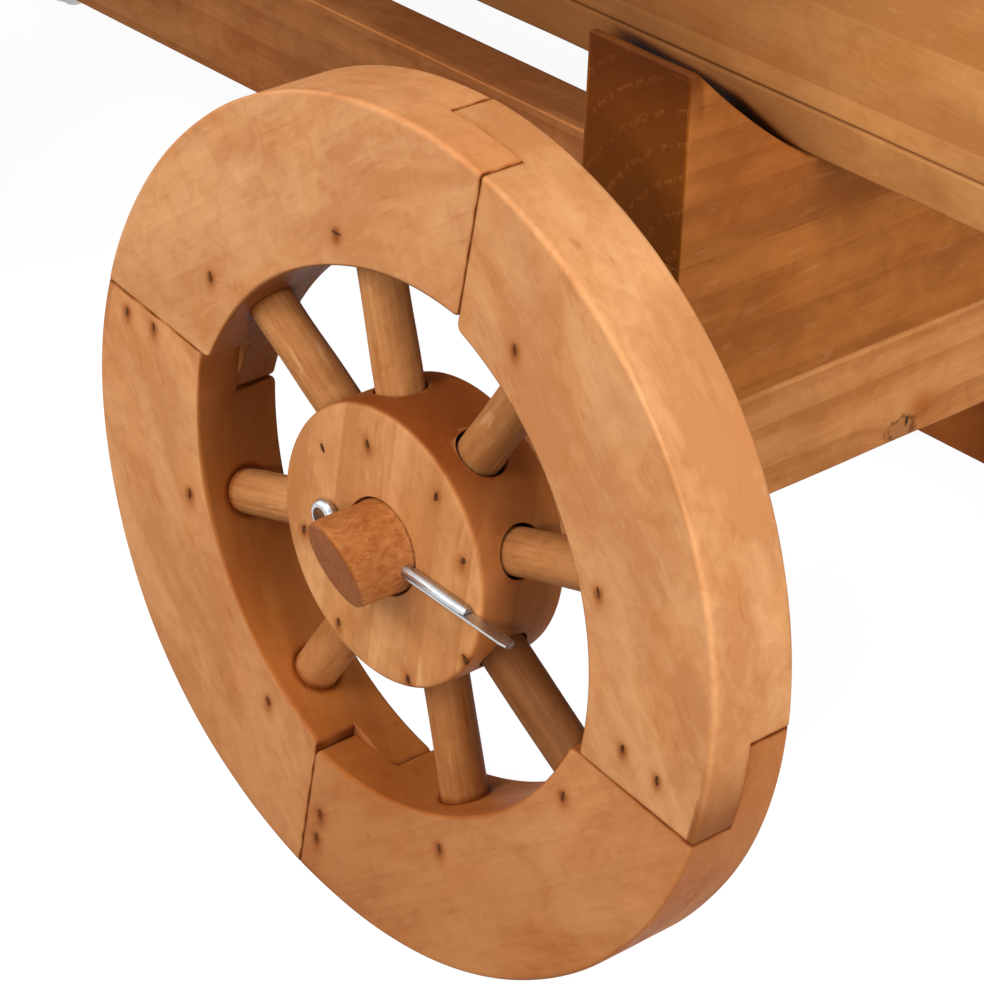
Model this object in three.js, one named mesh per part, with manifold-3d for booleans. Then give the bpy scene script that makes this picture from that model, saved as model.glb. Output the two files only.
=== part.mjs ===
// A small four-wheeled wooden flower cart: a planter bed on two horned bolsters, spoked wheels with
// lap-jointed felloe rims held by split pins, a steered front axle and a drawbar.
// Millimetres. +X runs towards the tail of the cart, +Y across it, +Z up. The drawbar points to -X.
import * as THREE from "three";
import { mergeVertices } from "three/addons/utils/BufferGeometryUtils.js";
import Module from "manifold-3d";

const wasm = await Module();
wasm.setup();

// ---- driving sizes: wheels ----
const WHEEL_R = 150; // outer radius of the rim
const FELLOES = 4; // curved wooden pieces in one rim
const FELLOE_HALF = 17; // thickness of each half of a felloe, front and back of the lap
const RIM_MID_R = 92.5; // inner radius of the rim at the middle of a felloe
const INNER_SWEEP = 17.5; // how far the centre of a felloe's inner arc lies beyond the hub
const JOINT_START = 75; // degrees, where the first front joint meets the tread
const JOINT_SKEW = 4; // degrees, how far the inner end of a joint line lags its outer end
const LAP = 12.5; // degrees from a front joint to the back joint that laps it
const JOINT_CUT = 25; // degrees of rim that one joint cutter takes away
const SPOKE_D = 16.5;
const SPOKE_SPREAD = 41; // degrees between the two spokes of one felloe
const SPOKE_SOCKET = 20; // depth of a spoke's hole in the rim
const HUB_R = 48.5;
const HUB_PROUD = 1; // how far the hub stands out of the rim on each side
const HUB_ARRIS = 1.5; // rounding of the hub's edges
const HUB_WALL = 13; // wood left between the bore and the end of a spoke
const CUT_OVER = 5; // how far a cutter runs past the wood it cuts
// ---- driving sizes: axles ----
const JOURNAL_R = 16; // round end of the axle that the wheel turns on
const JOURNAL_ROOT = 5; // how far the journal's form runs into the beam
const STUB = 20; // mean length of the journal past the hub
const STUB_SLANT_X = 3; // the stub's end is sawn askew by this much fore and aft
const STUB_SLANT_Z = 6; // and by this much up and down
const BEAM_W = 48; // axle beam along the cart
const BEAM_H = 44;
const BEAM_DROP = 3.5; // the beam's middle is this far below the journals' centre line
const WHEELBASE = 600;
const PIN_D = 4.6; // split pin, both legs together
const PIN_EYE_X = 25; // centre of the pin's eye from the axle's centre
const PIN_EYE_R = 3.1; // radius of the eye at the middle of its wire
const PIN_EYE_SWEEP = 310; // degrees, the eye is open towards the legs
const PIN_LEG_ROOT = 1.8; // the legs start this far inside the eye's centre
const PIN_SHORT_LEG = 41; // from the axle's centre to the end of the upper leg
const PIN_LONG_LEG = 65;
const PIN_TILT = 3.6; // degrees, the pin's long leg points a little down
// ---- driving sizes: bolsters and reach ----
const BOLSTER_H = 82; // from the axle beam up to the bed
const BOLSTER_LOWER_H = 58; // height of the lower of its two glued boards
const BOLSTER_PAST_BED = 60; // length of each horn past the bed's side
const HORN_RISE = 44; // height of a horn above the bolster's seat
const HORN_TIP = 3; // width of the flat on top of a horn
const HORN_SAG = 2.4; // how far the horn's slope dips below a straight line
const REACH_W = 30; // the beam that joins the two axles
const REACH_H = 57;
const REACH_NOTCH = 5; // depth of the notch that takes the rear axle beam
const REACH_TAIL = 30; // length past the rear axle beam
const REACH_NOSE = 18; // length past the front axle beam
const REACH_CHAMFER = 10;
const REACH_STEP_SPARE = 6; // between the turned front axle and the step of the reach
// ---- driving sizes: bed ----
const BED_W = 318;
const BED_OVERHANG = 120; // bed past each axle's centre
const BOARD_T = 16;
const SIDE_H = 110;
const FLOOR_BOARDS = ["left", "middle", "right"];
const FLOOR_SEAM = 1.2; // gap between two floor boards
const POST = 24; // square corner post
const POST_DROP = 8; // the posts end this far below the top of the sides
const BED_TO_RIM = 129; // clear space between the bed's side and the rim
// ---- driving sizes: steering and drawbar ----
const STEER_LIMIT = 25; // degrees each way, sets how far the reach's nose is lowered
const KING_D = 10;
const KING_HEAD_D = 20;
const KING_HEAD_H = 5;
const KING_HEAD_EDGE = 1.5; // straight edge of the domed head
const KING_HEAD_DOME = [0.6, 0.8]; // share of the head's radius and drop from its top, on the dome
const SCREW_STOP = 16; // wood left under the tip of the rear coach screw
const NUT_AF = 17; // across flats
const NUT_H = 8;
const THREAD_PAST_NUT = 3;
const METAL_ARRIS = 1; // eased edge of a bolt's end or a pin's head
const WASHER_R = 21;
const WASHER_T = 2;
const HOUND_T = 16; // wooden cheeks that hold the drawbar
const HOUND_H = 36;
const HOUND_REACH = 71; // from the axle beam's face to the drawbar's pin
const DRAWBAR_PIN_D = 8;
const DRAWBAR_PIN_HEAD = 3;
const POLE_W = 32;
const POLE_TIP_H = 24; // height of the pole at the handle
const POLE_L = 400; // from its pin to the handle
const HANDLE_D = 20;
const HANDLE_L = 200;
const HANDLE_ARRIS = 2;
// ---- named clearances ----
const SEAT_GAP = 0.3; // between pieces that rest on or touch each other
const BORE_GAP = 0.8; // around a journal in its hub
const SHOULDER_GAP = 0.8; // between a hub and the axle beam's shoulder
const SPOKE_GAP = 0.8; // around a spoke in the hub
const BOLT_GAP = 0.4; // around a bolt in its hole
const PIN_GAP = 0.3; // around a split pin in the journal, and between its legs
const HOUND_GAP = 0.5; // on each side of the pole
const ARRIS = 1.2; // eased edges of sawn boards

// ---- derived places ----
const RIM_T = 2 * FELLOE_HALF;
const RIM_BACK_Y = BED_W / 2 + BED_TO_RIM;
const RIM_FACE_Y = RIM_BACK_Y + RIM_T;
const AXLE_Z = WHEEL_R;
const BEAM_TOP = AXLE_Z - BEAM_DROP + BEAM_H / 2;
const BEAM_BOTTOM = BEAM_TOP - BEAM_H;
const BEAM_HALF_L = RIM_BACK_Y - HUB_PROUD - SHOULDER_GAP;
const SEAT_Z = BEAM_TOP + BOLSTER_H;
const BOLSTER_SPLIT_Z = BEAM_TOP + BOLSTER_LOWER_H;
const FLOOR_TOP = SEAT_Z + BOARD_T;
const REAR_X = 0;
const FRONT_X = -WHEELBASE;
const REACH_TOP = BEAM_BOTTOM + REACH_NOTCH;
const REACH_BOTTOM = REACH_TOP - REACH_H;
const TONGUE_TOP = BEAM_BOTTOM - WASHER_T - 2 * SEAT_GAP;
const BED_X0 = FRONT_X - BED_OVERHANG;
const BED_X1 = REAR_X + BED_OVERHANG;
const PIVOT_X = FRONT_X - BEAM_W / 2 - HOUND_REACH;

// ---- colours ----
const RIM_WOOD = 0xcd935c;
const HUB_WOOD = 0xbf8450;
const SPOKE_WOOD = 0xb87c49;
const AXLE_WOOD = 0xc08650;
const FRAME_WOOD = 0xa86a3a;
const BED_WOOD = 0xb97a45;
const STEEL = 0xb4b6b8;

const rad = THREE.MathUtils.degToRad;
const RING_STEPS = 32; // facets round a hub, journal or washer
const ROD_STEPS = 12; // facets round a spoke, bolt or socket

const wood = (color) => new THREE.MeshStandardMaterial({ color, roughness: 0.62, metalness: 0 });
const steel = () => new THREE.MeshStandardMaterial({ color: STEEL, roughness: 0.3, metalness: 1 });

// ---- joining and cutting ----
function toSolid(geometry) {
  const bare = geometry.clone();
  bare.deleteAttribute("normal");
  bare.deleteAttribute("uv");
  const merged = mergeVertices(bare, 1e-4);
  return new wasm.Manifold(
    new wasm.Mesh({
      numProp: 3,
      vertProperties: merged.attributes.position.array,
      triVerts: new Uint32Array(merged.index.array),
    }),
  );
}

function toGeometry(solid) {
  const { vertProperties, triVerts } = solid.getMesh();
  const geometry = new THREE.BufferGeometry();
  geometry.setAttribute("position", new THREE.BufferAttribute(vertProperties, 3));
  geometry.setIndex(new THREE.BufferAttribute(triVerts, 1));
  geometry.computeVertexNormals();
  return geometry;
}

function cut(geometry, cutters) {
  let solid = toSolid(geometry);
  for (const cutter of cutters) solid = solid.subtract(toSolid(cutter));
  return toGeometry(solid);
}

function join(geometries) {
  return toGeometry(geometries.map(toSolid).reduce((whole, piece) => whole.add(piece)));
}

function mesh(name, geometry, material) {
  const piece = new THREE.Mesh(geometry, material);
  piece.name = name;
  return piece;
}

// ---- simple forms ----
// A side-view outline in X and Z, standing between two values of Y.
function standing(outline, y0, y1, curveSegments = 12) {
  const options = { depth: y1 - y0, bevelEnabled: false, curveSegments };
  return new THREE.ExtrudeGeometry(outline, options).rotateX(Math.PI / 2).translate(0, y1, 0);
}

function outlineOf(points) {
  return new THREE.Shape(points.map(([x, y]) => new THREE.Vector2(x, y)));
}

// A rectangle with eased corners, about the middle of its own plane.
function easedRectangle(width, height, arris = ARRIS) {
  const [w, h] = [width / 2, height / 2];
  const corners = [[w, h - arris], [w - arris, h], [arris - w, h], [-w, h - arris]];
  return outlineOf([...corners, ...corners.map(([x, y]) => [-x, -y])]);
}

// A sawn board between two corners, with its long edges along X, Y or Z eased.
function board(low, high, along) {
  const size = high.map((value, axis) => value - low[axis]);
  const middle = high.map((value, axis) => (value + low[axis]) / 2);
  const section = { x: [size[2], size[1]], y: [size[0], size[2]], z: [size[0], size[1]] }[along];
  const length = size["xyz".indexOf(along)];
  const options = { depth: length, bevelEnabled: false };
  const geometry = new THREE.ExtrudeGeometry(easedRectangle(...section), options);
  geometry.translate(0, 0, -length / 2);
  if (along === "x") geometry.rotateY(Math.PI / 2);
  if (along === "y") geometry.rotateX(Math.PI / 2);
  return geometry.translate(...middle);
}

function rod(radius, length, steps = ROD_STEPS) {
  return new THREE.CylinderGeometry(radius, radius, length, steps);
}

// A turned form about its own Y axis: [radius, height] points of a closed profile.
function turned(profile, steps = RING_STEPS) {
  const points = [...profile, profile[0]].map(([r, y]) => new THREE.Vector2(r, y));
  return new THREE.LatheGeometry(points, steps);
}

const upright = (geometry, x, z) => geometry.rotateX(Math.PI / 2).translate(x, 0, z);

// ---- wheel: drawn with its outer face at y = 0 and its back towards +Y ----
function polar(radius, degrees) {
  return [radius * Math.cos(rad(degrees)), radius * Math.sin(rad(degrees))];
}

const felloeStart = (index) => JOINT_START + (index * 360) / FELLOES;
const felloeMiddle = (index) => felloeStart(index) + (360 / FELLOES + LAP) / 2;

// The inner arc is flatter than the tread: its centre lies beyond the hub, seen from the felloe.
function innerArc(index) {
  const [x, z] = polar(-INNER_SWEEP, felloeMiddle(index));
  return { x, z, radius: RIM_MID_R + INNER_SWEEP };
}

function innerArcAngle(arc, degrees) {
  const [ux, uz] = polar(1, degrees);
  const along = arc.x * ux + arc.z * uz;
  const reach = along + Math.sqrt(arc.radius ** 2 - arc.x ** 2 - arc.z ** 2 + along ** 2);
  return Math.atan2(reach * uz - arc.z, reach * ux - arc.x);
}

function felloeBlank(index) {
  const spare = JOINT_SKEW + 2;
  const [start, end] = [felloeStart(index) - spare, felloeStart(index) + 360 / FELLOES + LAP + spare];
  const arc = innerArc(index);
  const outline = new THREE.Shape();
  outline.absarc(0, 0, WHEEL_R, rad(start), rad(end), false);
  outline.absarc(arc.x, arc.z, arc.radius, innerArcAngle(arc, end), innerArcAngle(arc, start), true);
  outline.closePath();
  return standing(outline, 0, RIM_T, 15);
}

// Everything on one side of a joint line, between two depths: side is -1 before it, +1 after it.
function beyondJoint(degrees, side, y0, y1) {
  const halfGap = THREE.MathUtils.radToDeg(SEAT_GAP / 2 / RIM_MID_R);
  const edge = degrees - side * halfGap;
  const overshoot = 0.4; // share of the rim's width that the cutter runs past it
  const line = (angle) => {
    const outer = new THREE.Vector2(...polar(WHEEL_R, angle));
    const inner = new THREE.Vector2(...polar(RIM_MID_R, angle - JOINT_SKEW));
    return [inner.clone().lerp(outer, -overshoot), inner.clone().lerp(outer, 1 + overshoot)];
  };
  const [nearIn, nearOut] = line(edge);
  const [farIn, farOut] = line(edge + side * JOINT_CUT);
  const corners = [nearIn, nearOut, farOut, farIn];
  if (side < 0) corners.reverse();
  corners.reverse();
  return standing(new THREE.Shape(corners), y0, y1);
}

const spokeAngles = (index) => [-0.5, 0.5].map((k) => felloeMiddle(index) + k * SPOKE_SPREAD);
const allSpokeAngles = () => [...Array(FELLOES).keys()].flatMap(spokeAngles);
const spokeInnerR = () => JOURNAL_R + BORE_GAP + HUB_WALL;

function rimRadiusAt(degrees) {
  const index = [...Array(FELLOES).keys()].find((k) => spokeAngles(k).includes(degrees));
  const arc = innerArc(index);
  const angle = innerArcAngle(arc, degrees);
  return Math.hypot(arc.x + arc.radius * Math.cos(angle), arc.z + arc.radius * Math.sin(angle));
}

// A rod that lies on a radius of the wheel at mid thickness.
function radialRod(radius, from, to, degrees) {
  const geometry = rod(radius, to - from).rotateX(Math.PI / 2).rotateY(Math.PI / 2);
  return geometry.translate((from + to) / 2, 0, 0).rotateY(-rad(degrees)).translate(0, RIM_T / 2, 0);
}

function spoke(degrees) {
  const outer = rimRadiusAt(degrees) + SPOKE_SOCKET - SEAT_GAP;
  return radialRod(SPOKE_D / 2, spokeInnerR() + SEAT_GAP, outer, degrees);
}

// One felloe: the front half starts at its joint, the back half a lap later, so that each end
// is a half-lap with its neighbour.
function felloe(index) {
  const start = felloeStart(index);
  const end = start + 360 / FELLOES;
  const lapFront = FELLOE_HALF - SEAT_GAP / 2;
  const lapBack = FELLOE_HALF + SEAT_GAP / 2;
  const sockets = spokeAngles(index).map((angle) =>
    radialRod(SPOKE_D / 2 + SEAT_GAP, HUB_R, rimRadiusAt(angle) + SPOKE_SOCKET, angle),
  );
  return cut(felloeBlank(index), [
    beyondJoint(start, -1, -CUT_OVER, RIM_T + CUT_OVER),
    beyondJoint(start + LAP, -1, lapFront, RIM_T + CUT_OVER),
    beyondJoint(end + LAP, 1, -CUT_OVER, RIM_T + CUT_OVER),
    beyondJoint(end, 1, -CUT_OVER, lapBack),
    ...sockets,
  ]);
}

function hubDrum() {
  const [front, back] = [-HUB_PROUD, RIM_T + HUB_PROUD];
  const bore = JOURNAL_R + BORE_GAP;
  const bulge = (1 - Math.SQRT1_2) * HUB_ARRIS; // the middle of the front edge's rounding
  return turned([
    [bore, front],
    [HUB_R - HUB_ARRIS, front],
    [HUB_R - bulge, front + bulge],
    [HUB_R, front + HUB_ARRIS],
    [HUB_R, back - HUB_ARRIS],
    [HUB_R - HUB_ARRIS, back],
    [bore, back],
  ]);
}

function hub() {
  const holes = allSpokeAngles().map((angle) =>
    radialRod(SPOKE_D / 2 + SPOKE_GAP, spokeInnerR(), HUB_R + CUT_OVER, angle),
  );
  return cut(hubDrum(), holes);
}

const hubWithSpokes = () => join([hubDrum(), ...allSpokeAngles().map(spoke)]);

// The wheel that stands open to view has its spokes as pieces of their own.
function wheel(name, spokesApart) {
  const group = new THREE.Group();
  for (let k = 0; k < FELLOES; k++) {
    group.add(mesh(`${name}_felloe_${k + 1}`, felloe(k), wood(RIM_WOOD)));
  }
  group.add(mesh(`${name}_hub`, spokesApart ? hub() : hubWithSpokes(), wood(HUB_WOOD)));
  if (!spokesApart) return group;
  allSpokeAngles().forEach((angle, k) => {
    group.add(mesh(`${name}_spoke_${k + 1}`, spoke(angle), wood(SPOKE_WOOD)));
  });
  return group;
}

// ---- split pin: a half-round wire doubled back on itself through an eye, lying along X ----
class EyeArc extends THREE.Curve {
  getPoint(t, target = new THREE.Vector3()) {
    const [x, y] = polar(PIN_EYE_R, 180 + (t - 0.5) * PIN_EYE_SWEEP);
    return target.set(x - PIN_EYE_X, y, 0);
  }
}

function splitPin() {
  const section = (radius) => {
    const shape = new THREE.Shape();
    shape.absarc(0, 0, radius, 0, 2 * Math.PI, false);
    return shape;
  };
  const options = { steps: 10, extrudePath: new EyeArc(), curveSegments: 3 };
  const eye = new THREE.ExtrudeGeometry(section(PIN_D / 4), options);
  const leg = (side, length) => {
    const half = new THREE.Shape();
    half.absarc(0, 0, PIN_D / 2 - PIN_GAP / 2, 0, Math.PI, false);
    const start = PIN_EYE_X - PIN_LEG_ROOT;
    const form = { depth: start + length, bevelEnabled: false, curveSegments: 4 };
    const geometry = new THREE.ExtrudeGeometry(half, form).rotateY(Math.PI / 2);
    if (side < 0) geometry.rotateX(Math.PI);
    return geometry.translate(-start, (side * PIN_GAP) / 2, 0);
  };
  return join([eye, leg(1, PIN_SHORT_LEG), leg(-1, PIN_LONG_LEG)]).rotateX(Math.PI / 2);
}

// ---- axle beams ----
const pinY = () => RIM_FACE_Y + HUB_PROUD + SEAT_GAP + PIN_D / 2;

// The journal's outer end is sawn askew, so its end ring leans; side is -1 or +1 along Y.
function journal(side) {
  const inner = BEAM_HALF_L - JOURNAL_ROOT;
  const outer = RIM_FACE_Y + HUB_PROUD + STUB;
  const geometry = rod(JOURNAL_R, outer - inner, RING_STEPS).translate(0, (outer + inner) / 2, 0);
  const position = geometry.attributes.position;
  for (let i = 0; i < position.count; i++) {
    if (position.getY(i) < (outer + inner) / 2) continue;
    const slant = STUB_SLANT_X * position.getX(i) - STUB_SLANT_Z * position.getZ(i);
    position.setY(i, outer + slant / JOURNAL_R);
  }
  return side > 0 ? geometry : geometry.rotateX(Math.PI);
}

function pinHole(side) {
  const geometry = rod(PIN_D / 2 + PIN_GAP, 3 * JOURNAL_R, 12).rotateZ(Math.PI / 2);
  return geometry.rotateY(side * -rad(PIN_TILT)).translate(0, side * pinY(), 0);
}

function axle(x, boltHoleD) {
  const low = [-BEAM_W / 2, -BEAM_HALF_L, BEAM_BOTTOM - AXLE_Z];
  const high = [BEAM_W / 2, BEAM_HALF_L, BEAM_TOP - AXLE_Z];
  const beam = board(low, high, "y");
  const bolt = rod(boltHoleD / 2, 2 * BEAM_H).rotateX(Math.PI / 2);
  const whole = join([beam, journal(-1), journal(1)]);
  return cut(whole, [pinHole(-1), pinHole(1), bolt]).translate(x, 0, AXLE_Z);
}

function placedPin(name, x, side) {
  const pin = mesh(name, splitPin(), steel());
  pin.position.set(x, side * pinY(), AXLE_Z);
  pin.rotation.set(0, rad(PIN_TILT), side < 0 ? 0 : Math.PI, "ZYX");
  return pin;
}

// ---- bolsters: two glued boards, the upper one cut to a seat between two horns ----
function bolsterLower(x, bottom) {
  const half = BED_W / 2 + BOLSTER_PAST_BED;
  const low = [x - BEAM_W / 2, -half, bottom + SEAT_GAP];
  const high = [x + BEAM_W / 2, half, BOLSTER_SPLIT_Z];
  return cut(board(low, high, "y"), [verticalHole(x, KING_D / 2 + BOLT_GAP)]);
}

function bolsterUpper(x) {
  const [seat, end] = [BED_W / 2 + SEAT_GAP, BED_W / 2 + BOLSTER_PAST_BED];
  const [bottom, top] = [BOLSTER_SPLIT_Z + SEAT_GAP, SEAT_Z + HORN_RISE];
  const seatZ = SEAT_Z - SEAT_GAP;
  const tip = end - HORN_TIP;
  const outline = new THREE.Shape();
  const slopeMiddle = [(seat + tip) / 2, (seatZ + top) / 2 - 2 * HORN_SAG];
  outline.moveTo(-end, bottom);
  outline.lineTo(end, bottom);
  outline.lineTo(end, top);
  outline.lineTo(tip, top);
  outline.quadraticCurveTo(...slopeMiddle, seat, seatZ);
  outline.lineTo(-seat, seatZ);
  outline.quadraticCurveTo(-slopeMiddle[0], slopeMiddle[1], -tip, top);
  outline.lineTo(-end, top);
  outline.closePath();
  const form = { depth: BEAM_W, bevelEnabled: false, curveSegments: 6 };
  const geometry = new THREE.ExtrudeGeometry(outline, form);
  geometry.rotateX(Math.PI / 2).rotateZ(Math.PI / 2).translate(x - BEAM_W / 2, 0, 0);
  const headRoom = rod(KING_HEAD_D / 2 + BOLT_GAP, 2 * (KING_HEAD_H + SEAT_GAP));
  upright(headRoom, x, seatZ);
  return cut(geometry, [verticalHole(x, KING_D / 2 + BOLT_GAP), headRoom]);
}

// A hole down from above the bed to a given height, or right through.
function verticalHole(x, radius, bottom = -WHEEL_R) {
  const top = SEAT_Z + WHEEL_R;
  return upright(rod(radius, top - bottom), x, (top + bottom) / 2);
}

// ---- reach: notched over the rear axle, lowered at its nose so that the front axle can steer ----
function reach() {
  const tail = REAR_X + BEAM_W / 2 + REACH_TAIL;
  const nose = FRONT_X - BEAM_W / 2 - REACH_NOSE;
  const turn = rad(STEER_LIMIT);
  const swing = BEAM_W / 2 / Math.cos(turn) + (REACH_W / 2) * Math.tan(turn);
  const notch = BEAM_W / 2 + SEAT_GAP;
  const notchFloor = BEAM_BOTTOM - SEAT_GAP;
  const step = FRONT_X + swing + REACH_STEP_SPARE;
  const outline = outlineOf([
    [nose + REACH_CHAMFER, REACH_BOTTOM],
    [tail - REACH_CHAMFER, REACH_BOTTOM],
    [tail, REACH_BOTTOM + REACH_CHAMFER],
    [tail, REACH_TOP],
    [REAR_X + notch, REACH_TOP],
    [REAR_X + notch, notchFloor],
    [REAR_X - notch, notchFloor],
    [REAR_X - notch, REACH_TOP],
    [step, REACH_TOP],
    [step, TONGUE_TOP],
    [nose, TONGUE_TOP],
    [nose, REACH_BOTTOM + REACH_CHAMFER],
  ]);
  const kingHole = verticalHole(FRONT_X, KING_D / 2 + BOLT_GAP);
  const screwHole = verticalHole(REAR_X, KING_D / 2 + BOLT_GAP, REACH_BOTTOM + SCREW_STOP);
  return cut(standing(outline, -REACH_W / 2, REACH_W / 2), [kingHole, screwHole]);
}

// ---- bolt, screw, nut and washers ----
function uprightBolt(x, end) {
  const top = SEAT_Z - 2 * SEAT_GAP;
  const under = top - KING_HEAD_H;
  const [domeShare, domeDrop] = KING_HEAD_DOME;
  const [r, head] = [KING_D / 2, KING_HEAD_D / 2];
  const profile = [
    [0, end],
    [r - METAL_ARRIS, end],
    [r, end + METAL_ARRIS],
    [r, under],
    [head, under],
    [head, under + KING_HEAD_EDGE],
    [domeShare * head, top - domeDrop],
    [0, top],
  ];
  return upright(turned(profile, 16), x, 0);
}

function nut(x) {
  const corner = NUT_AF / Math.sqrt(3);
  const hexagon = upright(rod(corner, NUT_H, 6), x, REACH_BOTTOM - SEAT_GAP - NUT_H / 2);
  return cut(hexagon, [verticalHole(x, KING_D / 2 + SEAT_GAP)]);
}

function washer(x, bottom) {
  const bore = KING_D / 2 + BOLT_GAP;
  const ring = [[bore, 0], [WASHER_R, 0], [WASHER_R, WASHER_T], [bore, WASHER_T]];
  return upright(turned(ring), x, bottom);
}

// ---- drawbar ----
function hound(side) {
  const back = FRONT_X - BEAM_W / 2 - SEAT_GAP;
  const r = HOUND_H / 2;
  const outline = new THREE.Shape();
  outline.moveTo(PIVOT_X, AXLE_Z - r);
  outline.lineTo(back, AXLE_Z - r);
  outline.lineTo(back, AXLE_Z + r);
  outline.lineTo(PIVOT_X, AXLE_Z + r);
  outline.absarc(PIVOT_X, AXLE_Z, r, Math.PI / 2, 1.5 * Math.PI, false);
  const inner = POLE_W / 2 + HOUND_GAP;
  const [y0, y1] = side > 0 ? [inner, inner + HOUND_T] : [-inner - HOUND_T, -inner];
  const hole = rod(DRAWBAR_PIN_D / 2 + BOLT_GAP, 4 * HOUND_T + POLE_W).translate(PIVOT_X, 0, AXLE_Z);
  return cut(standing(outline, y0, y1), [hole]);
}

function drawbarPin() {
  const shank = POLE_W / 2 + HOUND_GAP + HOUND_T + SEAT_GAP;
  const [r, head] = [DRAWBAR_PIN_D / 2, DRAWBAR_PIN_D];
  const [inner, outer] = [shank, shank + DRAWBAR_PIN_HEAD];
  const profile = [
    [0, -outer],
    [head - METAL_ARRIS, -outer],
    [head, -inner - METAL_ARRIS],
    [head, -inner],
    [r, -inner],
  ];
  const mirrored = profile.map(([radius, y]) => [radius, -y]).reverse();
  return turned([...profile, ...mirrored], 12).translate(PIVOT_X, 0, AXLE_Z);
}

// Drawn level with its pin at the origin, pointing to -X.
function pole() {
  const [r, tip] = [POLE_W / 2, POLE_TIP_H / 2];
  const outline = new THREE.Shape();
  outline.absarc(0, 0, r, -Math.PI / 2, Math.PI / 2, false);
  outline.absarc(-POLE_L, 0, tip, Math.PI / 2, 1.5 * Math.PI, false);
  outline.closePath();
  const pinRoom = rod(DRAWBAR_PIN_D / 2 + BOLT_GAP, 2 * POLE_W);
  const handleRoom = rod(HANDLE_D / 2 + SEAT_GAP, 2 * POLE_W, 20).translate(-POLE_L, 0, 0);
  return cut(standing(outline, -POLE_W / 2, POLE_W / 2, 10), [pinRoom, handleRoom]);
}

function handle() {
  const [r, half, e] = [HANDLE_D / 2, HANDLE_L / 2, HANDLE_ARRIS];
  const upper = [[r, half - e], [r - e, half], [0, half]];
  const lower = upper.map(([radius, y]) => [radius, -y]).reverse();
  return turned([...lower, ...upper], 20).translate(-POLE_L, 0, 0);
}

// ---- bed: floor and side boards between two end boards that reach down past the floor ----
function bed() {
  const group = new THREE.Group();
  const [x0, x1] = [BED_X0 + BOARD_T + SEAT_GAP, BED_X1 - BOARD_T - SEAT_GAP];
  const width = (BED_W - (FLOOR_BOARDS.length - 1) * FLOOR_SEAM) / FLOOR_BOARDS.length;
  FLOOR_BOARDS.forEach((name, k) => {
    const y = -BED_W / 2 + k * (width + FLOOR_SEAM);
    const geometry = board([x0, y, SEAT_Z], [x1, y + width, FLOOR_TOP], "x");
    group.add(mesh(`floor_board_${name}`, geometry, wood(BED_WOOD)));
  });
  const [low, high] = [FLOOR_TOP + SEAT_GAP, FLOOR_TOP + SEAT_GAP + SIDE_H];
  const inner = BED_W / 2 - BOARD_T;
  const near = inner - SEAT_GAP;
  const postStarts = [["front", x0], ["rear", x1 - POST]];
  for (const [name, side] of [["left", -1], ["right", 1]]) {
    const [y0, y1] = side < 0 ? [-BED_W / 2, -inner] : [inner, BED_W / 2];
    const geometry = board([x0, y0, low], [x1, y1, high], "x");
    group.add(mesh(`side_board_${name}`, geometry, wood(BED_WOOD)));
    for (const [end, start] of postStarts) {
      const [p0, p1] = side < 0 ? [-near, POST - near] : [near - POST, near];
      const post = board([start, p0, low], [start + POST, p1, high - POST_DROP], "z");
      group.add(mesh(`corner_post_${end}_${name}`, post, wood(BED_WOOD)));
    }
  }
  for (const [end, start] of [["front", BED_X0], ["rear", BED_X1 - BOARD_T]]) {
    const geometry = board([start, -BED_W / 2, SEAT_Z], [start + BOARD_T, BED_W / 2, high], "y");
    group.add(mesh(`end_board_${end}`, geometry, wood(BED_WOOD)));
  }
  return group;
}

// ---- the cart ----
function placedWheel(name, x, side, spokesApart) {
  const group = wheel(name, spokesApart);
  group.position.set(x, side * RIM_FACE_Y, AXLE_Z);
  if (side > 0) group.rotation.z = Math.PI;
  return group;
}

const cart = new THREE.Group();
cart.add(bed());
const ends = [["rear", REAR_X, BEAM_TOP], ["front", FRONT_X, BEAM_TOP + WASHER_T + SEAT_GAP]];
for (const [end, x, bolsterBottom] of ends) {
  cart.add(mesh(`${end}_axle`, axle(x, KING_D + 2 * BOLT_GAP), wood(AXLE_WOOD)));
  cart.add(mesh(`${end}_bolster_lower`, bolsterLower(x, bolsterBottom), wood(FRAME_WOOD)));
  cart.add(mesh(`${end}_bolster_upper`, bolsterUpper(x), wood(FRAME_WOOD)));
  for (const [name, side] of [["left", -1], ["right", 1]]) {
    const inView = end === "rear" && name === "left";
    cart.add(placedWheel(`${end}_${name}_wheel`, x, side, inView));
    cart.add(placedPin(`${end}_${name}_split_pin`, x, side));
  }
}
cart.add(mesh("reach", reach(), wood(FRAME_WOOD)));
const boltEnd = REACH_BOTTOM - SEAT_GAP - NUT_H - THREAD_PAST_NUT;
const screwEnd = REACH_BOTTOM + SCREW_STOP + SEAT_GAP;
cart.add(mesh("king_bolt", uprightBolt(FRONT_X, boltEnd), steel()));
cart.add(mesh("rear_coach_screw", uprightBolt(REAR_X, screwEnd), steel()));
cart.add(mesh("king_nut", nut(FRONT_X), steel()));
cart.add(mesh("steering_washer_upper", washer(FRONT_X, BEAM_TOP + SEAT_GAP), steel()));
cart.add(mesh("steering_washer_lower", washer(FRONT_X, BEAM_BOTTOM - SEAT_GAP - WASHER_T), steel()));
cart.add(mesh("drawbar_hound_left", hound(-1), wood(AXLE_WOOD)));
cart.add(mesh("drawbar_hound_right", hound(1), wood(AXLE_WOOD)));
cart.add(mesh("drawbar_pin", drawbarPin(), steel()));
const drawbar = new THREE.Group();
drawbar.add(mesh("drawbar_pole", pole(), wood(FRAME_WOOD)));
drawbar.add(mesh("drawbar_handle", handle(), wood(SPOKE_WOOD)));
drawbar.position.set(PIVOT_X, 0, AXLE_Z);
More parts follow.
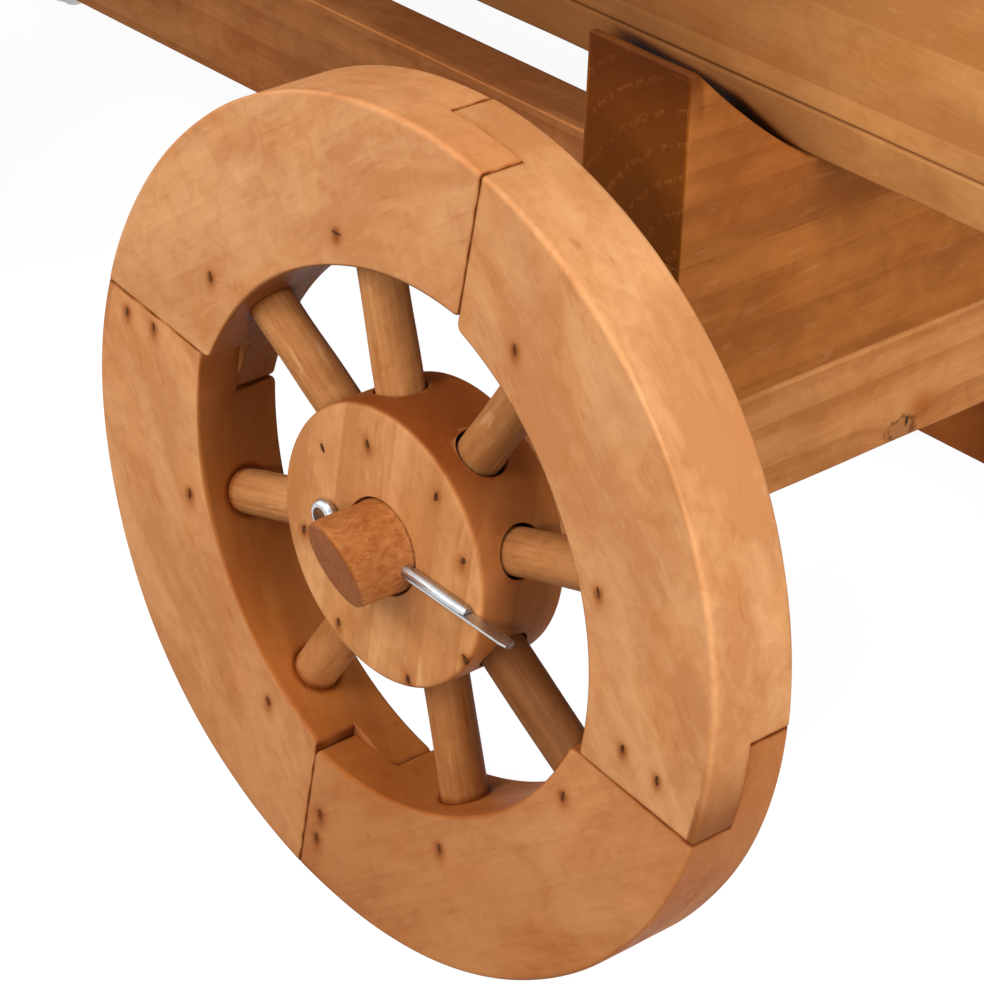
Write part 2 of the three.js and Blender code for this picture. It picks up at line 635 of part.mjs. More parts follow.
const tipR = Math.max(HANDLE_D, POLE_TIP_H) / 2; // the drawbar is parked with its tip on the ground
drawbar.rotation.y = -Math.asin((AXLE_Z - tipR) / POLE_L);
cart.add(drawbar);

// The part's origin: on the ground, under the middle of the whole cart.
const box = new THREE.Box3().setFromObject(cart, true);
const middle = box.getCenter(new THREE.Vector3());
cart.position.set(-middle.x, -middle.y, -box.min.z);
const part = new THREE.Group();
part.add(cart);

export default part;
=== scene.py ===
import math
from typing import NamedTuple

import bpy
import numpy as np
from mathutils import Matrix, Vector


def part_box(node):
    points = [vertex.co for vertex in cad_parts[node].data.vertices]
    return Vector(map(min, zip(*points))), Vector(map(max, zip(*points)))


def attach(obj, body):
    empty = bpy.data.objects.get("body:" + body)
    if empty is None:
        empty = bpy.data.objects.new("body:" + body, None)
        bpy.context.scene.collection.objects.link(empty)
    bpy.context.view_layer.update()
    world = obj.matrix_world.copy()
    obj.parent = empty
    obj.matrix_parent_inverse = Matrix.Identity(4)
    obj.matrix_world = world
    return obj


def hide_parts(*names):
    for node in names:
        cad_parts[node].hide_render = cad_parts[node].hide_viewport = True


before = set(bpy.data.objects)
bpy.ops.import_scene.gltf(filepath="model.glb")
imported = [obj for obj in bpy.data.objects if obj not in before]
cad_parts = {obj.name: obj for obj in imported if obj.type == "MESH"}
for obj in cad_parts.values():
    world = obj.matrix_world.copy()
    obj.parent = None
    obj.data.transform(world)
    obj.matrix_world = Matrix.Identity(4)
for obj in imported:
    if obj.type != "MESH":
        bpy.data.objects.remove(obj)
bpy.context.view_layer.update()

# %% [markdown]
# # A wooden flower cart, seen close to its rear left wheel
#
# The frame holds the cart's solids: right sizes, hard edges, plain colours. This notebook gives each piece
# its wood, its eased edges and its small marks. The wood is stained softwood with a satin finish. It is
# light where a plane or sander went over it and dark where a saw cut across the grain, so the direction of
# the grain matters more here than the colour itself.

MM = 0.001  # all lengths below are in millimetres and all angles in degrees
WHEEL_R, RIM_T = 150.0, 34.0
RIM_MID_R, INNER_SWEEP = 92.5, 17.5  # how far the inner arc is from the axle, and its centre beyond it
JOINT_START, JOINT_SKEW, LAP = 75.0, 4.0, 12.5
SPOKE_R, SPOKE_SPREAD = 8.25, 41.0
HUB_R, HUB_PROUD, BORE_R = 48.5, 1.0, 16.8
JOURNAL_R, PIN_Y, PIN_TILT = 16.0, 325.6, 3.6
REAR_X, FRONT_X, AXLE_Z = 466.2574, -133.7426, 149.9913
FACE_Y, MID_Y = 322.0, 305.0  # a wheel's outer face and its middle plane
BEAM_LOW, BEAM_HIGH, GLUE_Z, SEAT_Z = 124.4913, 168.4913, 226.4913, 250.4913
BED_SIDE_Y, PIVOT_X = 159.0, -228.7426
BOLT_HOLE_R, PIN_HOLE_R = 5.4, 4.4

# %% [markdown]
# ## Surfaces from grids
#
# Every wooden piece here is a section carried along a path: a rectangle with rounded corners along a board,
# a circle along a dowel. Carrying a section gives a grid of points, rows along the path and columns round
# the section, and a grid is quick to turn into a mesh. The first and last rows are closed with a flat cap.
# A ring of points set a little inside each cap and beside each rounded corner keeps the shading of the flat
# faces flat.


# %% Grids into closed meshes
def all_round(count):
    """Angles in radians for the points of a circle."""
    return np.linspace(0, 2 * math.pi, count, endpoint=False)


def cos_sin(degrees):
    return math.cos(math.radians(degrees)), math.sin(math.radians(degrees))


def circle(radius, turn):
    return radius * np.cos(turn), radius * np.sin(turn)


def joined(*lengths):
    """Points from their separate lengths, each a number, a row or a whole grid."""
    return np.stack(np.broadcast_arrays(*lengths), -1)


def tube_faces(rows, cols, closed_path=False):
    """Quads between row i and i + 1 and between column j and j + 1, the last column joined to the first."""
    last = rows if closed_path else rows - 1
    i, j = np.meshgrid(np.arange(last), np.arange(cols), indexing="ij")
    below, right = (i + 1) % rows, (j + 1) % cols
    quads = np.stack([i * cols + j, i * cols + right, below * cols + right, below * cols + j], -1)
    return quads.reshape(-1, 4)


def enclosed_volume(points, quads, caps):
    """Sum of the signed volumes of the pyramids from the middle of the points to each face."""
    p = points - points.mean(0)
    a, b, c, d = (p[quads[:, k]] for k in range(4))
    volume = np.einsum("ij,ij->", np.cross(a, b), c) + np.einsum("ij,ij->", np.cross(a, c), d)
    for cap in caps:
        ring = p[cap]
        apex = np.broadcast_to(ring[0], ring[2:].shape)
        volume += np.einsum("ij,ij->", np.cross(ring[1:-1], ring[2:]), apex)
    return volume / 6


def piece_from(name, shells, closed_path=False):
    """A mesh object from grids of points in millimetres, each (rows, columns, 3), with its faces outwards."""
    verts, faces, start = [], [], 0
    for grid in shells:
        rows, cols = grid.shape[:2]
        points = grid.reshape(-1, 3)
        quads = tube_faces(rows, cols, closed_path)
        ring = np.arange(cols)
        caps = [] if closed_path else [ring[::-1], (rows - 1) * cols + ring]
        if enclosed_volume(points, quads, caps) < 0:
            quads, caps = quads[:, ::-1], [cap[::-1] for cap in caps]
        verts.append(points)
        faces += (quads + start).tolist() + [(cap + start).tolist() for cap in caps]
        start += len(points)
    mesh = bpy.data.meshes.new(name)
    mesh.from_pydata(np.concatenate(verts) * MM, [], faces)
    mesh.shade_smooth()
    piece = bpy.data.objects.new(name, mesh)
    bpy.context.collection.objects.link(piece)
    return piece


def triples(collection, key):
    values = np.empty(len(collection) * 3, np.float32)
    collection.foreach_get(key, values)
    return values.reshape(-1, 3)


def points_of(piece):
    return triples(piece.data.vertices, "co") / MM


def normals_of(piece):
    return triples(piece.data.vertex_normals, "vector")


# %% [markdown]
# ## Which way the grain runs
#
# A plank is a straight piece of a tree, so its pattern is known from three lengths: along the grain, and two
# across it, measured from the pith. Each piece stores these three lengths at every point in an attribute
# named `grain`, and the wood material draws its rings and fibres from it. Four more attributes go with it:
#
# - `endgrain`: the share of the surface that cuts across the fibres;
# - `stain`: how much dark glue, dirt or rust there is near a joint or a nail, and on the outer floor
#   boards the painted shadow of the bolster's horn;
# - `soak`: how deeply the wood stain went in, and painted shade on the long bed boards, the reach and the
#   bolsters' crests;
# - `tone`: how light the piece is there, which on those same pieces is also painted light and shade.


# %% The attributes that the wood reads
SEEDS = np.random.default_rng(7)


def ripple(points, length, seed):
    """A smooth wave between about -1 and 1: the mean of eight sines in random directions."""
    rng = np.random.default_rng(seed)
    ways = rng.normal(size=(8, 3))
    ways *= (2 * math.pi / length) * rng.uniform(0.6, 1.6, (8, 1)) / np.linalg.norm(ways, axis=1)[:, None]
    return np.sin(points @ ways.T + rng.uniform(0, 6.28, 8)).mean(-1) * 1.6


def set_attribute(piece, name, kind, values):
    attribute = piece.data.attributes.new(name, kind, "POINT")
    key = "vector" if kind == "FLOAT_VECTOR" else "value"
    attribute.data.foreach_set(key, np.ascontiguousarray(values, np.float32).ravel())


def grow(piece, along, across, pith=(18.0, 22.0), stain=0.0, soak=0.0, tone=1.0):
    """Stores the grain: each point's length along the fibres and its two lengths from the pith, in metres."""
    along = np.array(along, float) / np.linalg.norm(along)
    across = np.array(across, float)
    across -= along * (across @ along)
    across /= np.linalg.norm(across)
    axes = np.stack([along, across, np.cross(along, across)])
    points = points_of(piece)
    middle = (points.max(0) + points.min(0)) / 2
    local = (points - middle) @ axes.T
    local += [SEEDS.uniform(-900, 900), pith[0], pith[1]]
    set_attribute(piece, "grain", "FLOAT_VECTOR", local * MM)
    set_attribute(piece, "endgrain", "FLOAT", (normals_of(piece) @ along) ** 2)
    for name, values in (("stain", stain), ("soak", soak), ("tone", tone)):
        set_attribute(piece, name, "FLOAT", np.broadcast_to(values, len(points)))


def finish_piece(piece, body, nodes, material):
    piece.data.materials.append(material)
    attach(piece, body)
    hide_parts(*nodes)
    return piece


# %% [markdown]
# ## Stained wood
#
# Blender could paint wood from a photograph, but a drawn pattern stays sharp at any distance and follows the
# grain round every corner. It is made in layers, each mixed over the ones before it:
#
# 1. The tone between a light and a dark colour: growth rings about the pith, clouds and patches where the
#    stain took unevenly, and fibres, which are noise stretched along the grain.
# 2. Warm patches, small dark and pale flecks, and fine dark pores.
# 3. End grain, darker and crossed by pale arcs, where the surface cuts across the fibres.
# 4. Torn skin or a knot, on the pieces that have one.
# 5. The stored `soak`, `stain` and `tone`: deep stain, dirt or rust, and how light the piece is there,
#    and on a few pieces painted light and shade.


# %% A small helper for node trees
def linear(red, green, blue):
    """The colour that a screen shows as these values from 0 to 255, as Blender counts light."""
    part = np.array([red, green, blue]) / 255
    return tuple(np.where(part <= 0.04045, part / 12.92, ((part + 0.055) / 1.055) ** 2.4)) + (1.0,)


# DEEP also darkens the painted shade that the soak and stain attributes carry.
DEEP = (0.62, 0.38, 0.15, 1.0)  # what stain that soaked in multiplies a colour by
WARM = (1.0, 0.90, 0.74, 1.0)
PALE = linear(232, 180, 128)
DARK_DIRT_AND_SHADOW = linear(50, 24, 9)
WHITE = (1.0, 1.0, 1.0, 1.0)


class Tree:
    """The nodes of a material or a world. A socket's name is written with underscores for its spaces."""

    def __init__(self, owner, shader="Principled BSDF"):
        owner.use_nodes = True
        self.owner = owner
        self.nodes, self.links = owner.node_tree.nodes, owner.node_tree.links
        self.shader = self.nodes[shader]

    def feed(self, node, values):
        """Joins another node's output to each named socket, or sets the socket; i0, i1 count sockets."""
        for key, value in values.items():
            socket = node.inputs[int(key[1:]) if key[1:].isdigit() else key.replace("_", " ")]
            if isinstance(value, bpy.types.NodeSocket):
                self.links.new(value, socket)
            else:
                socket.default_value = value

    def shade(self, **values):
        self.feed(self.shader, values)

    def add(self, kind, settings=None, **inputs):
        node = self.nodes.new(f"ShaderNode{kind}")
        for key, value in (settings or {}).items():
            setattr(node, key, value)
        self.feed(node, inputs)
        return node

    def attribute(self, name, output="Fac"):
        return self.add("Attribute", {"attribute_name": name}).outputs[output]

    def place(self):
        return self.add("TexCoord").outputs["Object"]

    def stretched(self, vector, scale):
        return self.add("Mapping", Vector=vector, Scale=scale).outputs[0]

    def noise(self, vector, scale, detail=3.0, roughness=0.5, distortion=0.0):
        inputs = {"Vector": vector, "Scale": scale, "Detail": detail, "Roughness": roughness}
        return self.add("TexNoise", Distortion=distortion, **inputs).outputs["Fac"]

    def math(self, operation, a, b, clamp=False):
        return self.add("Math", {"operation": operation, "use_clamp": clamp}, i0=a, i1=b).outputs[0]

    def times(self, a, b, clamp=False):
        return self.math("MULTIPLY", a, b, clamp)

    def plus(self, a, b, clamp=False):
        return self.math("ADD", a, b, clamp)

    def vector(self, operation, a, *b):
        """A vector sum; its outputs are a vector and a number."""
        inputs = {f"i{k}": value for k, value in enumerate((a, *b))}
        return self.add("VectorMath", {"operation": operation}, **inputs).outputs

    def spread(self, value, low, high, to_low=0.0, to_high=1.0):
        """Moves the range from low to high smoothly onto another range, and holds it inside."""
        smooth = {"clamp": True, "interpolation_type": "SMOOTHSTEP"}
        return self.add("MapRange", smooth, i0=value, i1=low, i2=high, i3=to_low, i4=to_high).outputs[0]

    def distance_from(self, place, stretch):
        """The stretched distance, in metres, from a place on the part."""
        away = self.vector("SUBTRACT", self.place(), tuple(place))[0]
        return self.vector("LENGTH", self.vector("MULTIPLY", away, stretch)[0])["Value"]

    def bell(self, distance, reach):
        """1 at no distance, falling to 0 at the reach."""
        return self.spread(distance, 0.0, reach, 1.0, 0.0)

    def mix(self, share, a, b, blend="MIX"):
        settings = {"data_type": "RGBA", "blend_type": blend}
        return self.add("Mix", settings, i0=share, i6=a, i7=b).outputs[2]

    def tinted(self, share, colour, tint=DEEP):
        """The colour with a share of it multiplied by the tint."""
        return self.mix(share, colour, self.mix(1.0, colour, tint, "MULTIPLY"))

    def bump(self, height, strength, distance):
        self.shade(Normal=self.add("Bump", Height=height, Strength=strength, Distance=distance).outputs[0])

    def seen_share(self):
        """1 for a ray that shows the thing itself, in view, in a reflection or through glass, else 0."""
        paths = self.add("LightPath").outputs
        seen = self.math("MAXIMUM", paths["Is Camera Ray"], paths["Is Glossy Ray"])
        return self.math("MAXIMUM", seen, paths["Is Transmission Ray"])


# %% The wood
KNOT = (0.49026, -0.1002, 0.1292)
KNOT_STRETCH = (0.0, 0.62, 1.0)


def with_knot(tree, colour, grain, from_knot):
    """A knot: a glow above it, a pale heart, a broken dark ring and a crack, all with wandering edges."""
    wobble = tree.math("SUBTRACT", tree.noise(grain, 260.0, 2.0), 0.5)
    from_knot = tree.plus(from_knot, tree.times(wobble, 0.004))
    glow = tree.bell(tree.distance_from(np.add(KNOT, (0.0, 0.0105, 0.0060)), (0.0, 0.75, 1.0)), 0.009)
    colour = tree.tinted(tree.times(glow, 0.75), colour)
    colour = tree.mix(tree.spread(from_knot, 0.0028, 0.0042, 0.7, 0.0), colour, linear(166, 110, 68))
    ring = tree.spread(from_knot, 0.0030, 0.0040)
    ring = tree.times(ring, tree.spread(from_knot, 0.0042, 0.0060, 1.0, 0.0))
    broken = tree.spread(tree.noise(grain, 300.0, 2.0), 0.42, 0.56, 0.15, 0.75)
    colour = tree.mix(tree.times(ring, broken), colour, linear(92, 50, 24))
    from_crack = tree.distance_from(np.add(KNOT, (0.0, 0.0026, 0.0026)), (0.0, 1.0, 0.42))
    from_crack = tree.plus(from_crack, tree.times(wobble, 0.002))
    return tree.mix(tree.spread(from_crack, 0.0005, 0.0011, 0.95, 0.0), colour, linear(48, 30, 16))


def wood(name, light, dark, end, ring_gap=5.0, rings=0.35, clouds=0.5, fibres=0.3, cloud_size=34.0,
         bump=0.35, flecks=0.12, arcs=0.15, torn=0.0, knotty=False):
    """Wood from its light and dark tones along the grain and its tone across it, as seen on a screen."""
    light, dark, end = linear(*light), linear(*dark), linear(*end)
    tree = Tree(bpy.data.materials.new(name))
    grain, cut = tree.attribute("grain", "Vector"), tree.attribute("endgrain")
    if knotty:  # the fibres bend round the knot
        from_knot = tree.distance_from(KNOT, KNOT_STRETCH)
        aside = tree.times(tree.bell(from_knot, 0.018), 0.006)
        grain = tree.vector("ADD", grain, tree.add("CombineXYZ", i1=aside).outputs[0])[0]

    wave = tree.add(
        "TexWave", {"wave_type": "RINGS", "rings_direction": "X", "wave_profile": "SAW"},
        Vector=tree.stretched(grain, (0.10, 1.0, 1.0)), Scale=314.0 / ring_gap,
        Distortion=2.2, Detail=2.0, Detail_Scale=0.35,
    ).outputs["Fac"]
    cloud = tree.noise(tree.stretched(grain, (0.45, 1.0, 1.0)), 1000.0 / cloud_size, 4.0, 0.55, 0.6)
    patch = tree.noise(grain, 1000.0 / (cloud_size * 0.28), 3.0, 0.6, 0.8)
    fibre = tree.noise(tree.stretched(grain, (22.0, 620.0, 620.0)), 1.0, 4.0, 0.62)
    tone = tree.times(tree.spread(wave, 0.35, 1.0), rings)
    layers = (cloud, 0.30, 0.72, clouds), (patch, 0.35, 0.75, clouds * 0.45), (fibre, 0.35, 0.7, fibres)
    for noise, low, high, strength in layers:
        tone = tree.plus(tone, tree.times(tree.spread(noise, low, high), strength))
    tone = tree.times(tone, 1.0 / (rings * 0.6 + clouds * 0.9 + fibres * 0.7), clamp=True)
    colour = tree.mix(tone, light, dark)

    warm = tree.noise(tree.stretched(grain, (0.6, 1.0, 1.0)), 1000.0 / (cloud_size * 0.75), 2.0, 0.5, 0.4)
    colour = tree.tinted(tree.spread(warm, 0.42, 0.72, 0.0, 0.5), colour, WARM)
    fleck = tree.noise(tree.stretched(grain, (55.0, 230.0, 230.0)), 1.0, 2.0, 0.6, 0.6)
    colour = tree.tinted(tree.spread(fleck, 0.60, 0.74, 0.0, flecks), colour)
    colour = tree.mix(tree.spread(fleck, 0.26, 0.38, flecks * 0.8, 0.0), colour, PALE)
    pore = tree.noise(tree.stretched(grain, (70.0, 2400.0, 2400.0)), 1.0, 2.0, 0.5)
    colour = tree.mix(tree.spread(pore, 0.60, 0.78, 0.0, 0.25), colour, end)

    speck = tree.noise(grain, 330.0, 4.0, 0.68, 0.8)
    arc = tree.times(tree.spread(wave, 0.70, 0.98), tree.spread(speck, 0.44, 0.62, 0.0, arcs))
    arc = tree.plus(arc, tree.spread(speck, 0.66, 0.72, 0.0, arcs * 0.6), clamp=True)
    across = tree.mix(arc, tree.tinted(tree.times(tone, 0.4), end), light)
    colour = tree.mix(tree.spread(cut, 0.05, 0.95, 0.0, 0.95), colour, across)

    height = tree.plus(tree.times(fibre, 0.6), tree.times(patch, 0.5))
    if torn:
        tear = tree.noise(tree.stretched(grain, (230.0, 480.0, 480.0)), 1.0, 3.0, 0.55, 1.0)
        sides = tree.spread(cut, 0.3, 0.7, torn, 0.0)
        colour = tree.tinted(tree.times(tree.spread(tear, 0.50, 0.62), sides), colour)
        colour = tree.mix(tree.times(tree.spread(tear, 0.30, 0.42, 0.5, 0.0), sides), colour, light)
        height = tree.plus(height, tree.times(tear, 4.0 * torn))
    if knotty:
        colour = with_knot(tree, colour, grain, from_knot)

    # On the bed boards, the reach and the bolsters' crests the stored soak, stain and tone carry painted
    # light and shade as well as stain.
    soak, stain, shade = (tree.attribute(stored) for stored in ("soak", "stain", "tone"))
    colour = tree.tinted(tree.times(soak, tree.spread(patch, 0.2, 0.8, 1.0, 0.8)), colour)
    darkened_by_stain = tree.tinted(tree.times(stain, 1.9, clamp=True), colour)
    colour = tree.mix(tree.spread(stain, 0.15, 1.0), darkened_by_stain, DARK_DIRT_AND_SHADOW)
    shade = tree.add("CombineColor", i0=shade, i1=shade, i2=shade).outputs[0]
    tree.shade(Base_Color=tree.mix(1.0, colour, shade, "MULTIPLY"), Specular_IOR_Level=0.08)
    tree.shade(Roughness=tree.spread(fibre, 0.3, 0.75, 0.50, 0.64))
    tree.bump(height, bump, 0.0006)
    return tree.owner


RIM = wood(
    "rim_wood", (222, 163, 111), (196, 132, 82), (208, 142, 86),
    ring_gap=7.0, rings=0.10, clouds=0.75, fibres=0.10, cloud_size=30.0, bump=0.3, flecks=0.24,
)
HUB = wood(
    "hub_wood", (216, 154, 100), (184, 121, 70), (160, 92, 42),
    ring_gap=15.0, clouds=0.6, fibres=0.12, cloud_size=26.0, bump=0.3, flecks=0.24,
)
SPOKE = wood(
    "spoke_wood", (204, 142, 88), (170, 109, 60), (150, 88, 42),
    rings=0.15, fibres=0.26, cloud_size=20.0, bump=0.4, flecks=0.4,
)
BEAM_LOOK = (216, 148, 89), (180, 113, 60), (150, 86, 46), 7.0, 0.35, 0.5, 0.15
AXLE = wood("axle_wood", *BEAM_LOOK)
KNOTTY = wood("knotty_axle_wood", *BEAM_LOOK, knotty=True)
JOURNAL = wood(
    "journal_wood", (196, 128, 74), (168, 102, 52), (160, 91, 40),
    ring_gap=9.0, rings=0.2, clouds=0.6, fibres=0.12, cloud_size=12.0, bump=0.7, flecks=0.2, arcs=0.0,
    torn=0.42,
)
FRAME = wood(
    "frame_wood", (181, 111, 51), (147, 84, 35), (134, 73, 16),
    ring_gap=11.0, rings=0.22, clouds=0.6, fibres=0.12, cloud_size=44.0, arcs=0.55,
)
REACH = wood(
    "reach_wood", (200, 134, 80), (164, 100, 54), (120, 68, 32),
    ring_gap=10.0, rings=0.25, clouds=0.6, fibres=0.12, cloud_size=44.0,
)
BED = wood(
    "bed_wood", (206, 147, 88), (175, 115, 62), (150, 92, 48),
    ring_gap=14.0, rings=0.34, fibres=0.10, cloud_size=44.0,
)
print("wood materials:", [m.name for m in (RIM, HUB, SPOKE, AXLE, KNOTTY, JOURNAL, FRAME, REACH, BED)])

# %% [markdown]
# ## Steel
#
# The split pins are zinc plated wire, drawn and bent, so they are bright with fine lines along the wire. The
# bolts, nut and washers have the same plating but lie under the bed, where they have dulled a little. They
# keep the solids' own shapes, and only their material is changed.


# %% Plated steel
def plated(name, colour, roughness, line_scale):
    """Zinc: duller spots in the colour, and fine lines in the roughness and the height."""
    tree = Tree(bpy.data.materials.new(name))
    place = tree.place()
    lines = tree.noise(tree.stretched(place, line_scale), 1.0, 3.0, 0.6)
    spots = tree.noise(place, 260.0, 3.0, 0.6)
    dull = tuple(c * 0.72 for c in colour[:3]) + (1.0,)
    share = tree.times(tree.spread(spots, 0.35, 0.75), 0.5)
    tree.shade(Base_Color=tree.mix(share, colour, dull), Metallic=1.0)
    tree.shade(Roughness=tree.spread(lines, 0.3, 0.7, roughness * 0.8, roughness * 1.35))
    tree.bump(lines, 0.25, 0.0002)
    return tree.owner


WIRE = plated("pin_steel", linear(196, 198, 200), 0.28, (60.0, 900.0, 900.0))
PLATED = plated("bolt_steel", linear(196, 197, 196), 0.36, (700.0, 700.0, 90.0))
BOLTS = "king_bolt", "king_nut", "rear_coach_screw", "drawbar_pin"
BOLTS += "steering_washer_upper", "steering_washer_lower"
for node in BOLTS:
    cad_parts[node].data.materials.clear()
    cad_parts[node].data.materials.append(PLATED)
print("plated:", len(BOLTS), "bolts, nuts, washers and pins")

# %% [markdown]
# ## Boards
#
# A sawn board is a rectangle carried along its length. A planer leaves its long edges sharp enough to cut, so
# the maker takes them off with a stroke of sandpaper: here that is a rounding of about a millimetre and a
# half, and a smaller one at the sawn ends.


# %% Sections and boards
CORNER = np.radians(np.linspace(0, 90, 5))
END_ROUND = np.radians([0, 0, 30, 60, 90])


def rounded_section(a0, a1, b0, b1, radii, na=2, nb=2):
    """A rectangle's outline with four rounded corners, row by row: straight sides between quarter circles."""
    steps = [np.concatenate([[0.012], np.linspace(0, 1, n + 2)[1:-1], [0.988]]) for n in (na, nb)]
    corners = [(a1, b1, -1, -1), (a0, b1, 1, -1), (a0, b0, 1, 1), (a1, b0, -1, 1)]
    columns = []
    for k, (a, b, inward_a, inward_b) in enumerate(corners):
        radius = radii[k]
        angle = CORNER + math.radians(90 * k)
        arc_a = (a + inward_a * radius)[:, None] + radius[:, None] * np.cos(angle)
        arc_b = (b + inward_b * radius)[:, None] + radius[:, None] * np.sin(angle)
        columns.append(joined(arc_a, arc_b))
        a, b, inward_a, inward_b = corners[(k + 1) % 4]
        r = radii[(k + 1) % 4]
        turn = math.radians(90 * (k + 1))
        start = columns[-1][:, -1]
        end = joined(a + inward_a * r + r * math.cos(turn), b + inward_b * r + r * math.sin(turn))
        t = steps[k % 2][None, :, None]
        columns.append(start[:, None] * (1 - t) + end[:, None] * t)
    return np.concatenate(columns, 1)


def end_rows(length, edge, middle):
    """Places along a piece and how far its section draws in there, so that its ends are rounded over."""
    inset = edge * (1 - np.sin(END_ROUND))
    inset[0] += 0.5
    place = edge * (1 - np.cos(END_ROUND))
    place[0] = 0.0
    inner = np.linspace(edge, length - edge, middle + 2)[1:-1]
    places = np.concatenate([place, inner, (length - place)[::-1]])
    return places, np.concatenate([inset, np.zeros(len(inner)), inset[::-1]])


def set_along(section, axis, rows):
    """The section's outlines set at those places along x, y or z."""
    grid = np.insert(section, axis, 0.0, axis=2)
    grid[..., axis] = rows[:, None]
    return grid


def sawn_board(name, low, high, along, edge=1.4, end_edge=0.8, wave=0.0, step=12.0, seed=1, across=3):
    """A rectangle carried from one end of the board to the other; wave lets its faces dip a little."""
    low, high = np.array(low, float), np.array(high, float)
    axis = "xyz".index(along)
    others = [k for k in range(3) if k != axis]
    length = high[axis] - low[axis]
    places, inset = end_rows(length, end_edge, max(3, int(length / step)))
    (a0, b0), (a1, b1) = low[others], high[others]
    corner = np.maximum(edge - inset, 0.05)
    section = rounded_section(a0 + inset, a1 - inset, b0 + inset, b1 - inset, [corner] * 4, across, across)
    grid = set_along(section, axis, low[axis] + places)
    if wave:
        middle = (low + high) / 2
        swell = wave * (1 + ripple(grid, 70.0, seed)) / 2
        for k in others:
            off = grid[..., k] - middle[k]
            grid[..., k] -= np.sign(off) * swell * (np.abs(off) > 2)
    return piece_from(name, [grid])


def shaped_board(name, along, places, a, b, edge=1.2, end_edge=0.7, foot=None):
    """A rectangle carried along the board; its sides' places, in a and b, may change from row to row."""
    start, stop = places[0], places[-1]
    ends, inset_ends = end_rows(stop - start, end_edge, 3)
    rows = np.concatenate([start + ends, places[1:-1]])
    inset = np.concatenate([inset_ends, np.zeros(len(places) - 2)])
    order = np.argsort(rows, kind="stable")
    rows, inset = rows[order], inset[order]
    a0, a1, b0, b1 = (np.interp(rows, places, side) for side in (*a, *b))
    corner = np.maximum(edge - inset, 0.05)
    low_corner = corner if foot is None else np.maximum(foot - inset, 0.05)
    corners = [corner, corner, low_corner, low_corner]
    section = rounded_section(a0 + inset, a1 - inset, b0 + inset, b1 - inset, corners, 3, 3)
    return piece_from(name, [set_along(section, "xyz".index(along), rows)])


# %% Boards with a drawn outline, such as the pole
def rounded_outline(corners, radius, step=8.0):
    """A closed outline through the corners: straight runs, each corner turned on a small quarter curve."""
    corners = np.array(corners, float)
    before, after = np.roll(corners, 1, 0), np.roll(corners, -1, 0)
    radius = np.broadcast_to(radius, len(corners))
    ends, points = [], []
    for p, q, r, size in zip(before, corners, after, radius):
        into, out = (p - q) / np.linalg.norm(p - q), (r - q) / np.linalg.norm(r - q)
        size = min(size, 0.45 * np.linalg.norm(p - q), 0.45 * np.linalg.norm(r - q))
        t = np.linspace(0, 1, 5)[:, None]
        ends.append((1 - t) ** 2 * (q + into * size) + 2 * t * (1 - t) * q + t**2 * (q + out * size))
    for k, arc in enumerate(ends):
        start, end = arc[-1], ends[(k + 1) % len(ends)][0]
        count = max(1, int(np.linalg.norm(end - start) / step))
        t = np.concatenate([[0.01], np.linspace(0, 1, count + 1)[1:-1], [0.99]])[:, None]
        points += [arc, start * (1 - t) + end * t]
    return np.concatenate(points)


def drawn_in(outline, amount):
    """The outline moved inwards: each point goes along the mean of its two sides' normals."""
    ahead = np.roll(outline, -1, 0) - outline
    ahead /= np.linalg.norm(ahead, axis=1)[:, None]
    behind = np.roll(ahead, 1, 0)
    inward = np.stack([-(ahead + behind)[:, 1], (ahead + behind)[:, 0]], -1)
    inward /= np.linalg.norm(inward, axis=1)[:, None]
    reach = 1 / np.maximum(0.5, np.einsum("ij,ij->i", inward, np.stack([-ahead[:, 1], ahead[:, 0]], -1)))
    return outline + inward * (amount * reach)[:, None]


def outlined_grid(outline, low, high, edge, rows=3):
    """A plank of that outline: the outline carried through its thickness and drawn in at both faces."""
    area = np.einsum("i,i->", outline[:, 0], np.roll(outline[:, 1], -1) - np.roll(outline[:, 1], 1))
    if area < 0:
        outline = outline[::-1]
    places, inset = end_rows(high - low, edge, rows)
    rings = np.stack([drawn_in(outline, amount) for amount in inset])
    depth = np.broadcast_to((low + places)[:, None, None], rings.shape[:2] + (1,))
    return np.concatenate([rings, depth], -1)


# %% [markdown]
# ## The wheel's rim
#
# A wheelwright would call each curved piece a felloe. This rim has four. Each is cut from a thick board, and
# its ends are half-lapped: at the front face one felloe ends where the next begins, at the back it ends a
# little further on. So each felloe is drawn as a front half and a back half. Both carry the same section, a
# rectangle from the inner arc to the tread, but the back half starts 12.5 degrees later. The joint lines lean
# a little, because they were sawn square to the board and not to the rim.


# %% Felloes
JOINT_GAP = 0.3
MEAN_R = 121.0  # where the length of a felloe is measured
skew_t = np.linspace(-0.3, 1.3, 60)[:, None]
skew_foot = np.array(cos_sin(-JOINT_SKEW)) * RIM_MID_R
skew_line = skew_foot + skew_t * (np.array([WHEEL_R, 0.0]) - skew_foot)
SKEW_R, SKEW_ANGLE = np.hypot(*skew_line.T), np.degrees(np.arctan2(skew_line[:, 1], skew_line[:, 0]))


def felloe_middle(index):
    """The angle of a felloe's middle, from the tail upwards."""
    return JOINT_START + 90 * index + (90 + LAP) / 2


def inner_radius(degrees, middle):
    """The felloe's inner arc: a circle flatter than the tread, its centre beyond the hub."""
    off = np.radians(degrees - middle)
    along = -INNER_SWEEP * np.cos(off)
    return along + np.sqrt((RIM_MID_R + INNER_SWEEP) ** 2 - INNER_SWEEP**2 + along**2)


